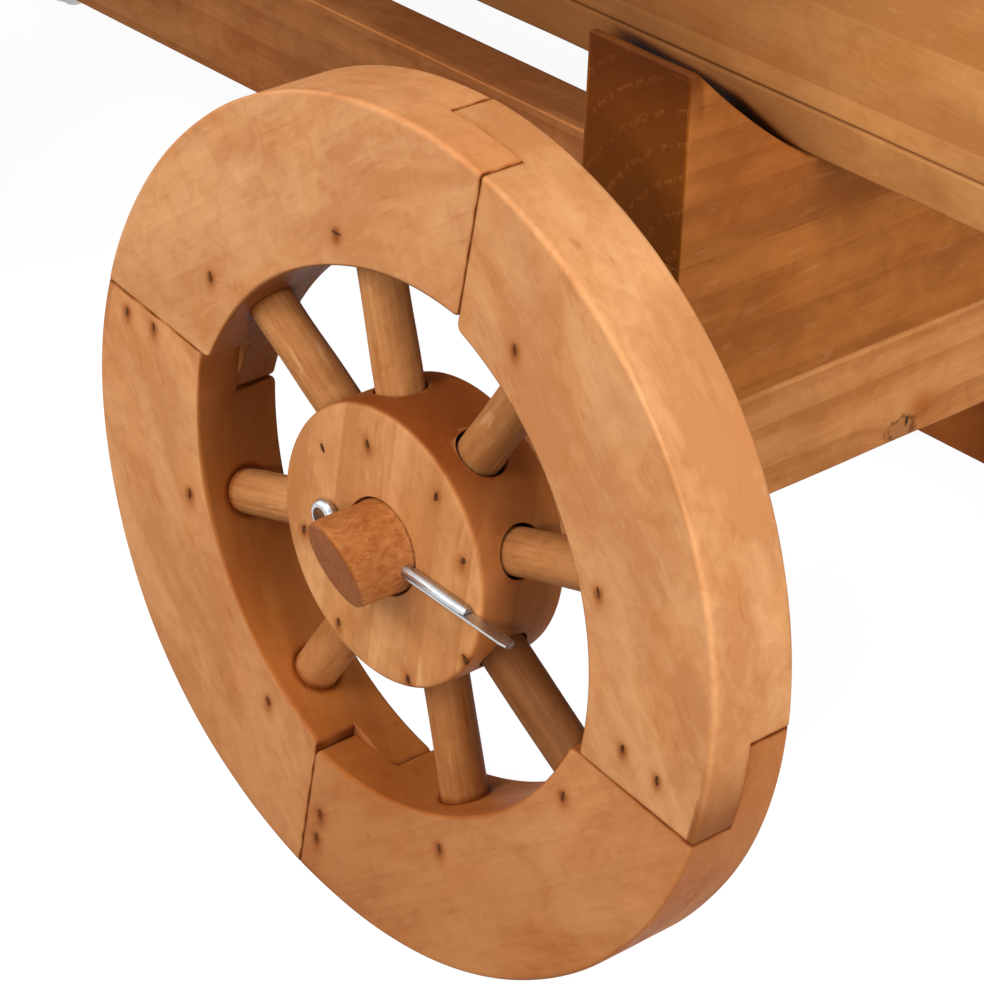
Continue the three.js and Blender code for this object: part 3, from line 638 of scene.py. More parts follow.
def felloe_half(index, back, seed, fine):
    """Rows from one joint to the next by arc length, columns round the section.

    With the points come how dirty each is from the joints, and how near it is to the tread's first corner.
    """
    start = JOINT_START + 90 * index + (LAP if back else 0)
    length = math.radians(90) * MEAN_R - JOINT_GAP
    rng = np.random.default_rng(seed)
    places, inset = end_rows(length, 0.45, int(length / (1.3 if fine else 5.0)))
    by_joint = np.array([1.0, 1.8, 2.8, 4.0])  # more rows there, for the dirt
    order = np.argsort(np.concatenate([places, by_joint, length - by_joint]), kind="stable")
    places = np.concatenate([places, by_joint, length - by_joint])[order]
    inset = np.concatenate([inset, np.zeros(2 * len(by_joint))])[order]
    turned = start + np.degrees((places + JOINT_GAP / 2) / MEAN_R)
    radius = np.full(len(places), RIM_MID_R)
    for _ in range(4):  # the arc's radius depends on the angle, and the angle on the radius
        radius = inner_radius(turned + np.interp(radius, SKEW_R, SKEW_ANGLE), felloe_middle(index))
    for near, size in ((places, rng.uniform(1.8, 3.6)), (length - places, rng.uniform(1.8, 3.6))):
        left = np.clip((size - near) / size, 0, 1)
        radius = radius + size * (1 - np.sqrt(1 - left**2))
    lap = math.radians(LAP) * MEAN_R
    lapped = places > length - lap if back else places < lap
    seam = np.where(lapped, 0.35, 0.04)
    eased = 1.5 + 0.4 * np.sin(places / 17 + seed)
    edges = (eased, eased * 0.8, seam, seam) if back else (seam, seam, eased * 0.8, eased)
    corners = [np.maximum(edge - inset, 0.03) for edge in edges]
    mid_y = RIM_T / 2
    low_y = (mid_y if back else 0.0) + inset
    high_y = RIM_T - inset if back else mid_y - inset + 0.02
    across = (40, 9) if fine else (8, 2)
    section = rounded_section(radius + inset, WHEEL_R - inset, low_y, high_y, corners, *across)
    angle = np.radians(turned[:, None] + np.interp(section[..., 0], SKEW_R, SKEW_ANGLE))
    x, z = circle(section[..., 0], angle)
    grid = joined(x, section[..., 1], z)
    dip = 0.02 + 0.22 * (1 + ripple(grid, 46.0, seed + 3)) / 2  # the tread was shaped by hand
    outward = grid / np.maximum(np.hypot(grid[..., 0], grid[..., 2]), 1)[..., None]
    tread = section[..., 0] > WHEEL_R - 3
    for k in (0, 2):
        grid[..., k] -= outward[..., k] * dip * tread
    from_joint = np.minimum(places, length - places)[:, None] + 0.0 * section[..., 0]
    from_lap = np.abs(section[..., 1] - mid_y) + np.where(lapped, 0.0, 99.0)[:, None]
    dirt_and_painted_shadow = np.maximum(0.75 * np.exp(-((from_joint / 0.6) ** 2)), 0.45 * np.exp(-((from_lap / 0.5) ** 2)))
    corner = np.exp(-((places / 15.0) ** 2))[:, None] * (section[..., 0] > WHEEL_R - 2.5)
    return grid, dirt_and_painted_shadow.ravel(), (corner * (0.0 if back else 1.0)).ravel()


# %% The four wheels and their marks
AXLES = ("rear", REAR_X, "cart"), ("front", FRONT_X, "front_axle_assembly")
SIDES = {-1: "left", 1: "right"}


class Wheel(NamedTuple):
    """A wheel's name, its number, its axle's place along the cart and its side: -1 left, 1 right."""

    label: str
    number: int
    x: float
    side: int

    def place(self, grid):
        """Puts points drawn with the face at y = 0 on the cart; a right wheel is turned half round."""
        x, y, z = (grid[..., k] for k in range(3))
        return joined(self.x - self.side * x, self.side * FACE_Y - self.side * y, AXLE_Z + z)

    def way(self, radians):
        """The direction from the hub at that angle."""
        return np.array([-self.side * math.cos(radians), 0, math.sin(radians)])

    def from_axle(self, points):
        """How far the points are from the axle's line, along the cart and upwards."""
        return points[:, 0] - self.x, points[:, 2] - AXLE_Z


WHEELS = [
    Wheel(f"{end}_{name}_wheel", 2 * k + n, x, side)
    for k, (end, x, _) in enumerate(AXLES)
    for n, (side, name) in enumerate(SIDES.items())
]
SEEN_WHEEL = WHEELS[0].label
SPOKES = [felloe_middle(k) + s * SPOKE_SPREAD / 2 for k in range(4) for s in (-1, 1)]
# Each nail's distance from the axle, in wheel radii, and its angle in degrees.
RIM_NAILS = [
    (0.696, 104.7), (0.722, 145.6), (0.824, 165.8), (0.918, 167.2), (0.688, -165.9), (0.695, -123.0),
    (0.733, 58.9), (0.683, 16.3), (0.764, -10.0), (0.869, -10.4), (0.677, -29.6), (0.702, -72.1),
    (0.814, -103.4), (0.884, -103.0),
]
HUB_NAILS = [
    (0.252, 142.0), (0.235, 102.8), (0.260, 49.5), (0.275, 18.2), (0.315, -27.7), (0.302, -70.3),
    (0.284, -117.7), (0.265, -164.2),
]


def halos(points, nails, reach, wheel, proud):
    """How much rust stains each point: a bell round each nail, stretched downwards where water ran."""
    stain = np.zeros(len(points))
    for radius, degrees in nails:
        c, s = cos_sin(degrees)
        cx, cz = wheel.x - wheel.side * radius * WHEEL_R * c, AXLE_Z + radius * WHEEL_R * s
        below = np.where(points[:, 2] < cz, 0.5, 1.0)
        far = np.hypot(points[:, 0] - cx, (points[:, 2] - cz) * below)
        near_face = np.abs(points[:, 1] - wheel.side * (FACE_Y + proud)) < 2
        stain = np.maximum(stain, near_face * np.exp(-((far / reach) ** 2)))
    return stain


# %% Rims
# How light each felloe is, how deeply it is stained, the same for its tread, and its tread's first corner.
RIM_TONES, RIM_SOAK = [0.94, 1.0, 0.97, 0.93], [0.02, 0.12, 0.34, 0.09]
TREAD_TONES, TREAD_SOAK = [1.26, 1.0, 1.0, 1.10], [0.32, 0.0, 0.34, -0.1]
RIM_CORNER = [0.0, 0.3, 0.2, 1.0]


def rim_wear(rim, wheel, index, dirt_and_painted_shadow, corner, seed):
    """A felloe's stain, soak and tone: darker inside, low down, by the joints, nails and spokes."""
    points = points_of(rim)
    along, up = wheel.from_axle(points)
    far = np.hypot(along, up)
    outward = ((points[:, [0, 2]] - [wheel.x, AXLE_Z]) * normals_of(rim)[:, [0, 2]]).sum(1) / far
    height = up / WHEEL_R
    inside = np.clip(-1.4 * outward - 0.1, 0, 1)
    tread = np.clip(1.6 * outward - 0.4, 0, 1)
    low = np.clip(-1.6 * height - 0.25, 0, 1)
    soak = inside * np.interp(height, [-0.6, 0.0, 0.5], [0.75, 1.0, 1.0]) + RIM_SOAK[index] + 0.3 * low
    soak = np.clip(soak + TREAD_SOAK[index] * tread + 0.9 * corner, 0, 1)
    tone = RIM_TONES[index] * (1 - 0.07 * low) * (1 - 0.45 * inside * np.clip(0.6 + height, 0, 1))
    tone = tone * (1 - 0.42 * corner) * (1 + (TREAD_TONES[index] - 1) * tread)
    stain = 0.55 * halos(points, RIM_NAILS, 2.6, wheel, 0.0)
    stain = np.maximum(stain, dirt_and_painted_shadow * np.clip(0.6 + 0.4 * ripple(points, 9.0, seed), 0.2, 1.0))
    angle = np.degrees(np.arctan2(up, -wheel.side * along))[:, None]
    off = np.radians((angle - np.array(SPOKES) + 180) % 360 - 180)
    from_middle = (np.abs(points[:, 1]) - MID_Y)[:, None]
    from_spoke = np.hypot(far[:, None] * np.sin(off), from_middle).min(1) - SPOKE_R
    stain = np.maximum(stain, 0.6 * np.exp(-((from_spoke / 1.5) ** 2)) * (outward < -0.5))
    return stain, soak, tone


for wheel in WHEELS:
    for index in range(4):
        seed = 100 * wheel.number + 10 * index
        halves = [felloe_half(index, back, seed + back, wheel.label == SEEN_WHEEL) for back in (False, True)]
        grids, dirt_and_painted_shadow, corner = zip(*halves)
        rim = piece_from(f"{wheel.label}_rim_{index + 1}", [wheel.place(grid) for grid in grids])
        dirt_and_painted_shadow, corner = np.concatenate(dirt_and_painted_shadow), np.concatenate(corner) * RIM_CORNER[index]
        wear = rim_wear(rim, wheel, index, dirt_and_painted_shadow, corner, seed)
        middle = math.radians(felloe_middle(index))
        chord = wheel.side * math.sin(middle), 0, math.cos(middle)
        pith = SEEDS.uniform(-60, 60), SEEDS.uniform(60, 110)
        grow(rim, chord, wheel.way(middle), pith, *wear)
        finish_piece(rim, wheel.label, [f"{wheel.label}_felloe_{index + 1}"], RIM)
print("rims:", len(WHEELS), "wheels of four felloes,", len(rim.data.polygons), "faces in the last one")

# %% [markdown]
# ## Hubs and spokes
#
# The hub is a thick disc sawn from a plank, so its grain runs up and down across the face and its rim shows
# end grain at the top and bottom. It is a turned shape: a profile carried once round the axle. The spokes'
# holes are bored a little large, and a Boolean modifier cuts them from the disc, since a grid can't have
# holes of its own. The spokes are dowels that were shaved by hand, so their thickness wanders.


# %% Hubs and spokes
def rim_reach(degrees):
    index = int(((degrees - JOINT_START - LAP / 2) % 360) // 90)
    return float(inner_radius(np.array(degrees), felloe_middle(index)))


def dowel(degrees, radius, start, end, wander, seed, steps=36, facets=28):
    """Circles carried along a radius of the wheel, each a little thicker or thinner than the last."""
    places, inset = end_rows(end - start, 0.6, steps)
    local = joined((start + places)[:, None], *circle((radius - inset)[:, None], all_round(facets)))
    thin = 1 - wander * (1 + ripple(local * [0.35, 1, 1], 16.0, seed)) / 2
    local[..., 1:] *= thin[..., None]
    c, s = cos_sin(degrees)
    along, y, aside = (local[..., k] for k in range(3))
    return joined(along * c - aside * s, y + RIM_T / 2, along * s + aside * c)


def turned_hub(facets=144):
    """The hub's profile carried once round the axle: face, rounded edge, side, edge, back and bore."""
    round_off = np.radians(np.linspace(0, 90, 5))
    front, back, r = -HUB_PROUD, RIM_T + HUB_PROUD, 1.6
    outer = [(HUB_R - r + r * math.sin(a), front + r - r * math.cos(a)) for a in round_off]
    behind = [(radius, RIM_T - y) for radius, y in outer][::-1]
    side_y = np.linspace(front + r + 0.4, back - r - 0.4, 6)
    face_r = np.array([BORE_R + 0.5, 22.0, 28.0, 34.0, 40.0, 44.0, HUB_R - r - 0.5])
    profile = [(BORE_R, front + 0.4), (BORE_R + 0.15, front + 0.1)] + [(radius, front) for radius in face_r]
    profile += outer + [(HUB_R, y) for y in side_y] + behind + [(radius, back) for radius in face_r[::-1]]
    profile += [(BORE_R, back - 0.3), (BORE_R, RIM_T / 2)]
    radius, y = np.array(profile).T
    x, z = circle(radius, all_round(facets)[:, None])
    return joined(x, y, z)


def drill(middle, axis, radius, half_length):
    """A round cutter: two circles, one to each side of the middle, along the axis x, y or z."""
    ring = np.insert(joined(*circle(radius, all_round(32))), axis, 0.0, axis=1)
    ends = np.array([-1, 1])[:, None, None] * half_length * np.eye(3)[axis]
    return np.array(middle, float) + np.stack([ring, ring]) + ends


def bored(piece, cutters):
    """Cuts the cutters from the piece with a Boolean modifier, applies it and removes them."""
    cutter = piece_from("cutter", cutters)
    change = piece.modifiers.new("bore", "BOOLEAN")
    change.operation, change.solver, change.object = "DIFFERENCE", "EXACT", cutter
    evaluated = piece.evaluated_get(bpy.context.evaluated_depsgraph_get())
    mesh = bpy.data.meshes.new_from_object(evaluated)
    piece.modifiers.clear()
    old, piece.data = piece.data, mesh
    mesh.name = piece.name
    mesh.set_sharp_from_angle(angle=math.radians(38))
    bpy.data.meshes.remove(old)
    bpy.data.objects.remove(cutter)


SPOKE_ROOT, HOLE_ROOT = 31.0, 30.0  # how far from the axle's line a spoke and its hole begin
# How light each spoke is set and how far its colour is deepened; the one low on the right is darkest.
SPOKE_TONES = [0.98, 0.92, 1.0, 1.0, 0.88, 0.55, 0.92, 0.86]
SPOKE_SOAK = [0.0, 0.0, 0.06, 0.1, 0.38, 0.4, 0.22, 0.05]
for wheel in WHEELS:
    hub = piece_from(f"{wheel.label}_disc", [wheel.place(turned_hub())], closed_path=True)
    bored(hub, [wheel.place(dowel(a, SPOKE_R + 0.95, HOLE_ROOT, HUB_R + 4, 0.0, 1, 2, 40)) for a in SPOKES])
    place = points_of(hub)
    far = np.hypot(*wheel.from_axle(place))
    in_hole = (far < HUB_R - 0.3) & (np.abs(np.abs(place[:, 1]) - MID_Y) < 17.5)
    stain = np.maximum(0.6 * halos(place, HUB_NAILS, 2.2, wheel, HUB_PROUD), 0.9 * in_hole)
    sideways = np.hypot(*normals_of(hub)[:, [0, 2]].T)
    soak = 0.75 * np.clip(1.3 * sideways - 0.3, 0, 1) * (far > HUB_R - 3)
    grow(hub, (0.12, 0, 1), (1, 0, 0), (12.0, 46.0), stain, soak)
    for k, angle in enumerate(SPOKES):
        end = rim_reach(angle)
        grid = dowel(angle, SPOKE_R, SPOKE_ROOT, end + 1.2, 0.07, 40 + k + 10 * wheel.number)
        spoke = piece_from(f"{wheel.label}_dowel_{k + 1}", [wheel.place(grid)])
        out = np.hypot(*wheel.from_axle(points_of(spoke)))
        dirt_and_painted_shadow = 0.5 * np.exp(-(((end - out) / 1.6) ** 2))
        way = wheel.way(math.radians(angle))
        grow(spoke, way, (0, 1, 0), (7.0, 14.0), dirt_and_painted_shadow, SPOKE_SOAK[k], SPOKE_TONES[k])
        node = f"spoke_{k + 1}" if wheel.label == SEEN_WHEEL else "hub"
        finish_piece(spoke, wheel.label, [f"{wheel.label}_{node}"], SPOKE)
    finish_piece(hub, wheel.label, [f"{wheel.label}_hub"], HUB)
print("hubs and", len(SPOKES), "spokes a wheel; hub faces:", len(hub.data.polygons))

# %% [markdown]
# ## Nails
#
# Short nails and staples hold the laps and the ends of the spokes. Driven below the surface, they show as
# small dark slots with a halo of rust. Each is a small low bead of rusted steel, longer than it is wide, sunk
# so that only its crown stands out by a twentieth of a millimetre.


# %% Nail heads
def bead(radius, degrees, y, length, width, lean):
    """Rings drawn in towards a crown: an ellipse of that length and width, leaning by an angle."""
    turn = all_round(14)
    rings = [(0.3, 0.35), (1.0, 0.3), (1.0, 0.0), (0.8, -0.04), (0.35, -0.06)]
    c, s = cos_sin(lean)
    cx, cz = (radius * WHEEL_R * part for part in cos_sin(degrees))
    grid = []
    for share, depth in rings:
        u, v = share * length / 2 * np.cos(turn), share * width / 2 * np.sin(turn)
        grid.append(joined(cx + u * c - v * s, y + depth, cz + u * s + v * c))
    return np.array(grid)


def beads(nails, y, lengths, widths, leans, rng):
    """A bead on each nail, its size and lean drawn from those ranges."""
    return [bead(r, a, y, rng.uniform(*lengths), rng.uniform(*widths), rng.uniform(*leans)) for r, a in nails]


def rust(name):
    tree = Tree(bpy.data.materials.new(name))
    spots = tree.spread(tree.noise(tree.place(), 900.0, 2.0), 0.35, 0.7)
    tree.shade(Base_Color=tree.mix(spots, linear(66, 35, 15), linear(104, 60, 30)))
    tree.shade(Roughness=0.8, Specular_IOR_Level=0.1)
    return tree.owner


RUST = rust("nail_rust")
for wheel in WHEELS:
    rng = np.random.default_rng(5)
    heads = beads(RIM_NAILS[1:], 0.0, (3.0, 4.2), (1.1, 1.6), (80, 125), rng)
    heads.append(bead(*RIM_NAILS[0], 0.0, 4.8, 1.0, 3.0))  # a staple, which lies level
    heads += beads(HUB_NAILS, -HUB_PROUD, (2.8, 3.8), (1.5, 2.1), (60, 130), rng)
    nails = piece_from(f"{wheel.label}_nails", [wheel.place(head) for head in heads])
    nails.data.materials.append(RUST)
    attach(nails, wheel.label)
print("nails:", len(heads), "a wheel")

# %% [markdown]
# ## Axles
#
# The axle is a square beam whose ends are rounded to journals with a drawknife, so the journal is a little
# rough, torn across the fibres, and its sawn end is dark end grain and not quite square. The beam's grain
# runs along it, with one knot on the rear beam's side that faces the camera.


# %% Axle beams and journals
def journal(side, x):
    """Circles carried along the axle; the skin is roughened by two waves and the end leans."""
    start, end = 278.0, 343.0
    places, inset = end_rows(end - start, 1.8, 110)
    x_off, z_off = circle((JOURNAL_R - inset)[:, None], all_round(120))
    grid = joined(x_off, (start + places)[:, None], z_off)
    torn = ripple(grid * [1.0, 0.7, 1.0], 2.4, 11) * 0.6 + ripple(grid * [1.0, 0.5, 1.0], 7.0, 12) * 0.7
    outside = np.clip((grid[..., 1] - FACE_Y) / 2, 0, 1) * np.clip(1.3 - inset[:, None], 0, 1)
    grid[..., [0, 2]] *= (1 - (0.022 * (torn + 1.2) * outside))[..., None]
    lean = (3.0 * grid[..., 0] + 6.0 * grid[..., 2]) / JOURNAL_R - 0.3
    grid[..., 1] += lean * np.clip((places - 45) / (end - start - 45), 0, 1)[:, None]
    return joined(x + grid[..., 0], side * grid[..., 1], AXLE_Z + grid[..., 2])


for end, x, body in AXLES:
    low, high = (x - 24, -286.2, BEAM_LOW), (x + 24, 286.2, BEAM_HIGH)
    beam = sawn_board(f"{end}_beam", low, high, "y", 1.6, 1.0, 0.25, 6.0, 3)
    if end == "front":
        bored(beam, [drill((x, 0, AXLE_Z), 2, BOLT_HOLE_R, 60)])
    grow(beam, (0, 1, 0), (0, 0, 1), (26.0, 30.0))
    finish_piece(beam, body, [f"{end}_axle"], KNOTTY if end == "rear" else AXLE)
    for side, name in SIDES.items():
        stub = piece_from(f"{end}_{name}_journal", [journal(side, x)])
        grow(stub, (0, 1, 0), (0, 0, 1), (26.0, 30.0), tone=0.9)
        finish_piece(stub, body, [f"{end}_axle"], JOURNAL)
print("axles dressed")

# %% [markdown]
# ## Split pins
#
# A split pin is half-round wire bent back on itself, so that its two flat faces meet and make a round pin,
# with an eye at the bend. It is drawn as what it is: a half disc carried along the bent path. One leg is
# shorter, and beyond its end the flat face of the longer one shows.


# %% Split pins
def split_pin(x, side):
    """A half disc carried out along the upper leg's line, round the eye and back along the lower leg."""
    wire, eye_x, eye_r, short, long = 2.3, -25.0, 3.2, 45.0, 65.0
    root, parted = eye_x + 5.2, 0.12  # where the eye opens, and half the gap between the legs
    eye = joined(*circle(eye_r, np.radians(np.linspace(38, 322, 34))))
    eye[:, 0] += eye_x
    path = [joined(np.linspace(short, root, 24), parted), eye, joined(np.linspace(root, long, 30), -parted)]
    path = np.concatenate(path)
    ahead = np.gradient(path, axis=0)
    ahead /= np.linalg.norm(ahead, axis=1)[:, None]
    half = joined(*circle(1, np.radians(np.linspace(0, 180, 13))))
    section = np.concatenate([half, joined(np.linspace(-0.9, 0.9, 5), 0.0)]) * wire
    inset = np.ones(len(path))
    inset[[0, -1]] = 0.8
    across, out = (section[None, :, k] * inset[:, None] for k in range(2))
    px = path[:, None, 0] + ahead[:, None, 1] * out
    pz = path[:, None, 1] - ahead[:, None, 0] * out
    c, s = cos_sin(PIN_TILT)
    rx, rz = px * c + pz * s, -px * s + pz * c
    return joined(x - side * rx, side * PIN_Y + across, AXLE_Z + rz)


for end, x, body in AXLES:
    for side, name in SIDES.items():
        pin = piece_from(f"{end}_{name}_split_pin_wire", [split_pin(x, side)])
        pin.data.set_sharp_from_angle(angle=math.radians(50))
        finish_piece(pin, body, [f"{end}_{name}_split_pin"], WIRE)
print("split pins:", len(pin.data.polygons), "faces each")

# %% [markdown]
# ## Bolsters and reach
#
# A bolster carries the bed. It is glued from two boards on edge, and the upper one rises at each end to a
# horn that keeps the bed in place. The glue line shows on its faces as a fine dark line. The reach is one
# long beam under the middle of the cart, notched under the rear axle and stepped down under the front one.


# %% Bolsters
BOLSTER_Y, HORN_Z = 219.0, SEAT_Z + 44
for (end, x, _), bottom in zip(AXLES, (BEAM_HIGH + 0.3, BEAM_HIGH + 2.6)):
    low, high = (x - 24, -BOLSTER_Y, bottom), (x + 24, BOLSTER_Y, GLUE_Z + 0.12)
    lower = sawn_board(f"{end}_bolster_board", low, high, "y", 0.15, 0.6, 0.0, 8.0)
    grow(lower, (0, 1, 0), (0, 0, 1), (40.0, 30.0), tone=1.06)
    finish_piece(lower, "cart", [f"{end}_bolster_lower"], FRAME)
    t = np.linspace(0, 1, 16)[:, None]
    foot, tip = np.array([BED_SIDE_Y + 0.3, SEAT_Z - 0.3]), np.array([BOLSTER_Y - 3, HORN_Z])
    bend = (foot + tip) / 2 - [0, 4.8]
    slope = (1 - t) ** 2 * foot + 2 * t * (1 - t) * bend + t**2 * tip
    half_y = np.concatenate([np.linspace(6, 158, 20), slope[:, 0], [217.0, BOLSTER_Y]])
    half_z = np.concatenate([np.full(20, foot[1]), slope[:, 1], [HORN_Z, HORN_Z]])
    rows = np.concatenate([-half_y[::-1], half_y])
    tops = np.concatenate([half_z[::-1], half_z])
    flat = np.ones(len(rows))
    sides = (flat * (x - 24), flat * (x + 24)), (flat * (GLUE_Z + 0.18), tops)
    upper = shaped_board(f"{end}_bolster_horned", "y", rows, *sides, 0.9, 0.8, 0.15)
    # Painted shade: the flat top of each horn is painted darker and deeper in colour.
    painted_shade_on_crest = np.clip((points_of(upper)[:, 2] - 291.5) / 1.5, 0, 1)
    grow(upper, (0, 1, 0), (0, 0, 1), (52.0, -44.0), 0.0, 0.6 * painted_shade_on_crest, 0.97 - 0.45 * painted_shade_on_crest)
    finish_piece(upper, "cart", [f"{end}_bolster_upper"], FRAME)

# %% Reach
(x0, _, z0), (x1, _, z1) = (np.array(corner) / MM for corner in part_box("reach"))
swing = math.radians(25)  # how far the front axle steers over the step
step_x = FRONT_X + 24 / math.cos(swing) + 15 * math.tan(swing) + 6
bend_x = [x0, x0 + 10, step_x, step_x + 0.05, REAR_X - 24.35, REAR_X - 24.3, REAR_X + 24.3, REAR_X + 24.35]
tongue, notch = BEAM_LOW - 2.6, BEAM_LOW - 0.3
top_z = [tongue, tongue, tongue, z1, z1, notch, notch, z1]
long_x = np.unique(np.concatenate([np.linspace(x0, x1, 60), bend_x, [x1 - 10]]))
tops = np.interp(long_x, bend_x, top_z)
bottoms = z0 + np.maximum(0, 10 - np.minimum(long_x - x0, x1 - long_x))
flat = np.ones(len(long_x))
reach = shaped_board("reach_beam", "x", long_x, (-15 * flat, 15 * flat), (bottoms, tops), 1.2, 0.9)
place = points_of(reach)
# Painted light and shade: the top face, which lies in the bed's shade, is painted much lighter, the side is
# painted lighter in the middle, and both are painted darker and deeper towards the rear axle.
top_face = normals_of(reach)[:, 2] > 0.5
soak = np.interp(place[:, 0], [-60, 200, 460], [0.0, 0.3, 1.0]) * np.where(top_face, 0.5, 1.0)
painted_light_on_side = np.interp(place[:, 0], [-60, 200, 460], [1.1, 1.25, 0.95])
grow(reach, (1, 0, 0), (0, 0, 1), (38.0, 34.0), 0.0, soak, np.where(top_face, 2.2, painted_light_on_side))
finish_piece(reach, "cart", ["reach"], REACH)

# %% Hounds and drawbar
def half_circle(x, z, radius, start, count):
    """Half a circle about x and z, from that angle on."""
    angles = np.radians(np.linspace(start, start + 180, count))
    return [(x + radius * math.cos(a), z + radius * math.sin(a)) for a in angles]


NOSE_R, back_x = 18, FRONT_X - 24.3
nose = half_circle(PIVOT_X, AXLE_Z, NOSE_R, 90, 25)
outline = rounded_outline(nose + [(back_x, AXLE_Z - NOSE_R), (back_x, AXLE_Z + NOSE_R)], 0.5, 6.0)
for name, low in (("left", -32.5), ("right", 16.5)):
    cheek = piece_from(f"hound_{name}", [outlined_grid(outline, low, low + 16, 1.2)[..., [0, 2, 1]]])
    grow(cheek, (1, 0, 0), (0, 0, 1), (20.0, 24.0))
    finish_piece(cheek, "front_axle_assembly", [f"drawbar_hound_{name}"], AXLE)

POLE_L, ROOT_R, KNOB_R = 400, 16, 11.9
droop = math.asin((AXLE_Z - 12.0) / POLE_L)  # the tip lies on the ground
c, s = math.cos(droop), math.sin(droop)
pole_outline = half_circle(0, 0, ROOT_R, -90, 21) + half_circle(-POLE_L, 0, KNOB_R, 90, 21)
level = outlined_grid(rounded_outline(pole_outline, 0.3, 9.0), -16.0, 16.0, 2.0, 4)
px, pz, py = (level[..., k] for k in range(3))
pole = piece_from("pole", [joined(PIVOT_X + px * c - pz * s, py, AXLE_Z + px * s + pz * c)])
bored(pole, [drill((PIVOT_X, 0, AXLE_Z), 1, PIN_HOLE_R, 30)])
grow(pole, (c, 0, s), (0, 1, 0), (16.0, 22.0))
finish_piece(pole, "drawbar", ["drawbar_pole"], FRAME)

HANDLE_L, HANDLE_R = 200.0, 9.9
places, inset = end_rows(HANDLE_L, 2.5, 24)
x, z = circle((HANDLE_R - inset)[:, None], all_round(40))
grid = joined(PIVOT_X - POLE_L * c + x, (places - HANDLE_L / 2)[:, None], AXLE_Z - POLE_L * s + z)
handle = piece_from("handle", [grid])
grow(handle, (0, 1, 0), (1, 0, 0), (7.0, 12.0))
finish_piece(handle, "drawbar", ["drawbar_handle"], SPOKE)
print("bolsters, reach, hounds and drawbar dressed")

# %% [markdown]
# ## The bed
#
# The bed is a shallow box of planed boards: three floor boards, two sides, two ends and a post in each
# corner. In the photograph the edge of the outer floor board shows under the side board, with a thin dark
# seam between them, and a dark band on that edge where it meets the bolster's horn. That band is the
# horn's shadow, painted onto the board's edge as a dark stain and a lower tone.

# %% Bed boards
BED_BOARDS = {
    "floor_board_left": "x", "floor_board_middle": "x", "floor_board_right": "x", "side_board_left": "x",
    "side_board_right": "x", "end_board_front": "y", "end_board_rear": "y", "corner_post_front_left": "z",
    "corner_post_front_right": "z", "corner_post_rear_left": "z", "corner_post_rear_right": "z",
}
HORN_PAINTED_SHADOW = [380, 397, 420, 436, 455, 474, 495, 500], [262, 266.5, 264.5, 263.5, 261, 254.5, 249, 240]
for k, (node, along) in enumerate(BED_BOARDS.items()):
    low, high = (np.array(corner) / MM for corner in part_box(node))
    step, across = (3.0, 7) if node == "floor_board_left" else (10.0, 3)
    plank = sawn_board(f"{node}_planed", low, high, along, 1.1, 0.7, 0.2, step, 60 + k, across)
    axis = np.eye(3)["xyz".index(along)]
    place = points_of(plank)
    # Painted shade: the long boards are painted darker and deeper in colour from the rear bolster forwards.
    painted_shade_to_front = np.clip((515 - place[:, 0]) / 110, 0, 1) if along == "x" else np.zeros(len(place))
    dirt_and_painted_shadow = np.zeros(len(place))
    # Painted shadow: the horn's shadow as a dark band on the outer floor boards' edges, along the horn's
    # outline, stored as stain and as a lower tone.
    if node in ("floor_board_left", "floor_board_right"):
        band = np.clip((np.interp(place[:, 0], *HORN_PAINTED_SHADOW) - place[:, 2]) / 3.0, 0, 1)
        dirt_and_painted_shadow = band * np.clip((place[:, 0] - 388) / 20, 0, 1) * (np.abs(place[:, 1]) > BED_SIDE_Y - 0.6)
    shade = (1 - 0.46 * painted_shade_to_front) * (1 - 0.7 * dirt_and_painted_shadow) * (0.9 if node.startswith("floor") else 1.0)
    pith = SEEDS.uniform(-40, 40), SEEDS.uniform(50, 90)
    grow(plank, axis, (0, 0, 1) if along != "z" else (1, 0, 0), pith, 0.9 * dirt_and_painted_shadow, 0.6 * painted_shade_to_front, shade)
    finish_piece(plank, "cart", [node], BED)
print("bed boards:", len(BED_BOARDS))

# %% [markdown]
# ## Light, floor and camera
#
# A studio lights such a cart with large soft lamps on a white floor. The brightest one stands beyond the
# tail, a little above the axle's height, so the treads that face it are the lightest wood in the picture. A
# second one stands in front of the wheel's face, and weaker ones to the side and above fill the shadows. A
# last small one stands low in front, and its harder light casts part of the shadow of the bolster's horn;
# the rest of that dark band is painted shadow on the floor board's edge. The insides of the rim face none
# of them and get their light from the wood round them, so they look deep and red.


# %% Lamps
def lamp(name, direction, distance, size, power):
    """A square soft lamp that shines along the line from it to the wheel."""
    aim = Vector((REAR_X * MM, -0.25, 0.16))
    light = bpy.data.lights.new(name, "AREA")
    light.shape, light.size, light.energy = "SQUARE", size, power
    body = bpy.data.objects.new(name, light)
    body.location = aim + Vector(direction).normalized() * distance
    body.rotation_euler = (aim - body.location).to_track_quat("-Z", "Y").to_euler()
    bpy.context.collection.objects.link(body)


lamp("tail_lamp", (0.97, -0.10, 0.22), 2.6, 1.1, 44.0)
lamp("face_lamp", (-0.05, -0.78, 0.62), 2.2, 1.2, 31.0)
lamp("side_lamp", (-0.72, -0.60, 0.40), 2.4, 1.2, 13.0)
lamp("high_lamp", (0.10, -0.10, 0.99), 2.6, 1.4, 14.0)
lamp("front_lamp", (0.60, -0.72, 0.34), 1.7, 0.16, 7.0)

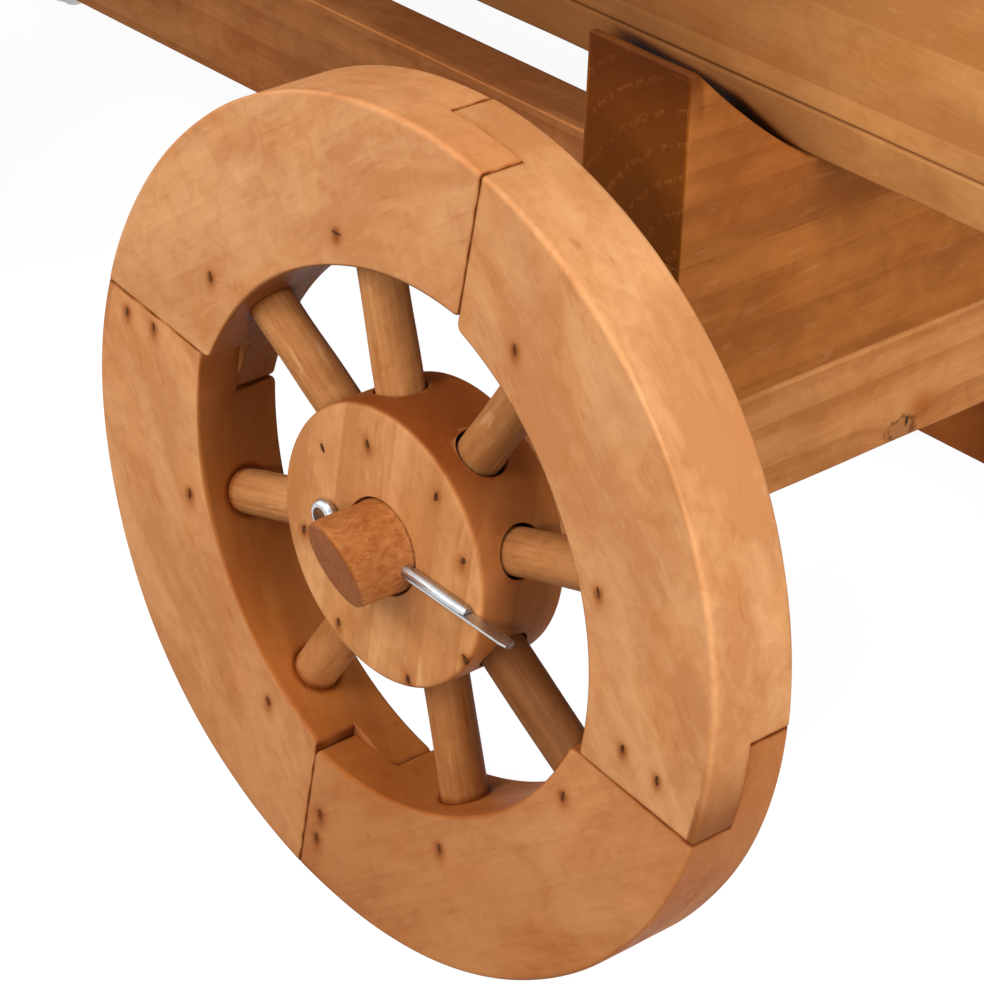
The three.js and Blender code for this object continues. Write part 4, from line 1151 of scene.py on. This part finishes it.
# %% Sky
SKY_LIGHT, SKY_SEEN = 0.13, 1.0  # how strong the white sky is as a light, and where it is seen
sky = Tree(bpy.data.worlds.new("studio"), "Background")
bpy.context.scene.world = sky.owner
strength = sky.add("MapRange", i0=sky.seen_share(), i3=SKY_LIGHT, i4=SKY_SEEN).outputs[0]
sky.shade(Color=WHITE, Strength=strength)
print("lamps and sky set")


# %% Floor
def studio_floor():
    """Almost white to the camera, a little darker in the cart's shadow, and plain grey to the light."""
    tree = Tree(bpy.data.materials.new("studio_floor"))
    tree.shade(Base_Color=(0.22, 0.22, 0.22, 1.0), Roughness=1.0, Specular_IOR_Level=0.0)
    tree.shade(Emission_Color=WHITE, Emission_Strength=tree.times(tree.seen_share(), 0.91))
    return tree.owner


span = 9.0
floor_mesh = bpy.data.meshes.new("floor")
corners = [(x * span, y * span, 0) for x, y in ((-1, -1), (1, -1), (1, 1), (-1, 1))]
floor_mesh.from_pydata(corners, [], [range(4)])
floor = bpy.data.objects.new("floor", floor_mesh)
floor.data.materials.append(studio_floor())
bpy.context.collection.objects.link(floor)
print("floor laid")

# %% [markdown]
# ## Camera
#
# The camera's place comes from the rim's ellipse and from the beams' straight edges in the photograph: a long
# lens about 1.2 metres away, 29 degrees above the floor, turned a little about its own axis.

# %% Camera
AZIMUTH, ELEVATION, ROLL = math.radians(46.66), math.radians(29.38), math.radians(2.612)
SENSOR_MM, PICTURE_PX, FOCAL_PX = 36.0, 984.0, 3852.0
sideways, forwards = -math.sin(AZIMUTH) * math.cos(ELEVATION), math.cos(AZIMUTH) * math.cos(ELEVATION)
ahead = Vector((sideways, forwards, -math.sin(ELEVATION)))
level = ahead.cross(Vector((0, 0, 1))).normalized()
upward = level.cross(ahead)
right = level * math.cos(ROLL) + upward * math.sin(ROLL)
upward = right.cross(ahead)
turned_to = Matrix((right, upward, -ahead)).transposed().to_4x4()
camera = bpy.data.objects.new("camera", bpy.data.cameras.new("camera"))
camera.matrix_world = Matrix.Translation((1.26651, -1.03025, 0.77297)) @ turned_to
camera.data.sensor_width = SENSOR_MM
camera.data.lens = FOCAL_PX * SENSOR_MM / PICTURE_PX
camera.data.clip_start = 0.05
bpy.context.collection.objects.link(camera)
bpy.context.scene.camera = camera
bpy.context.scene.view_settings.view_transform = "Standard"
print("lens", round(camera.data.lens, 1), "mm")
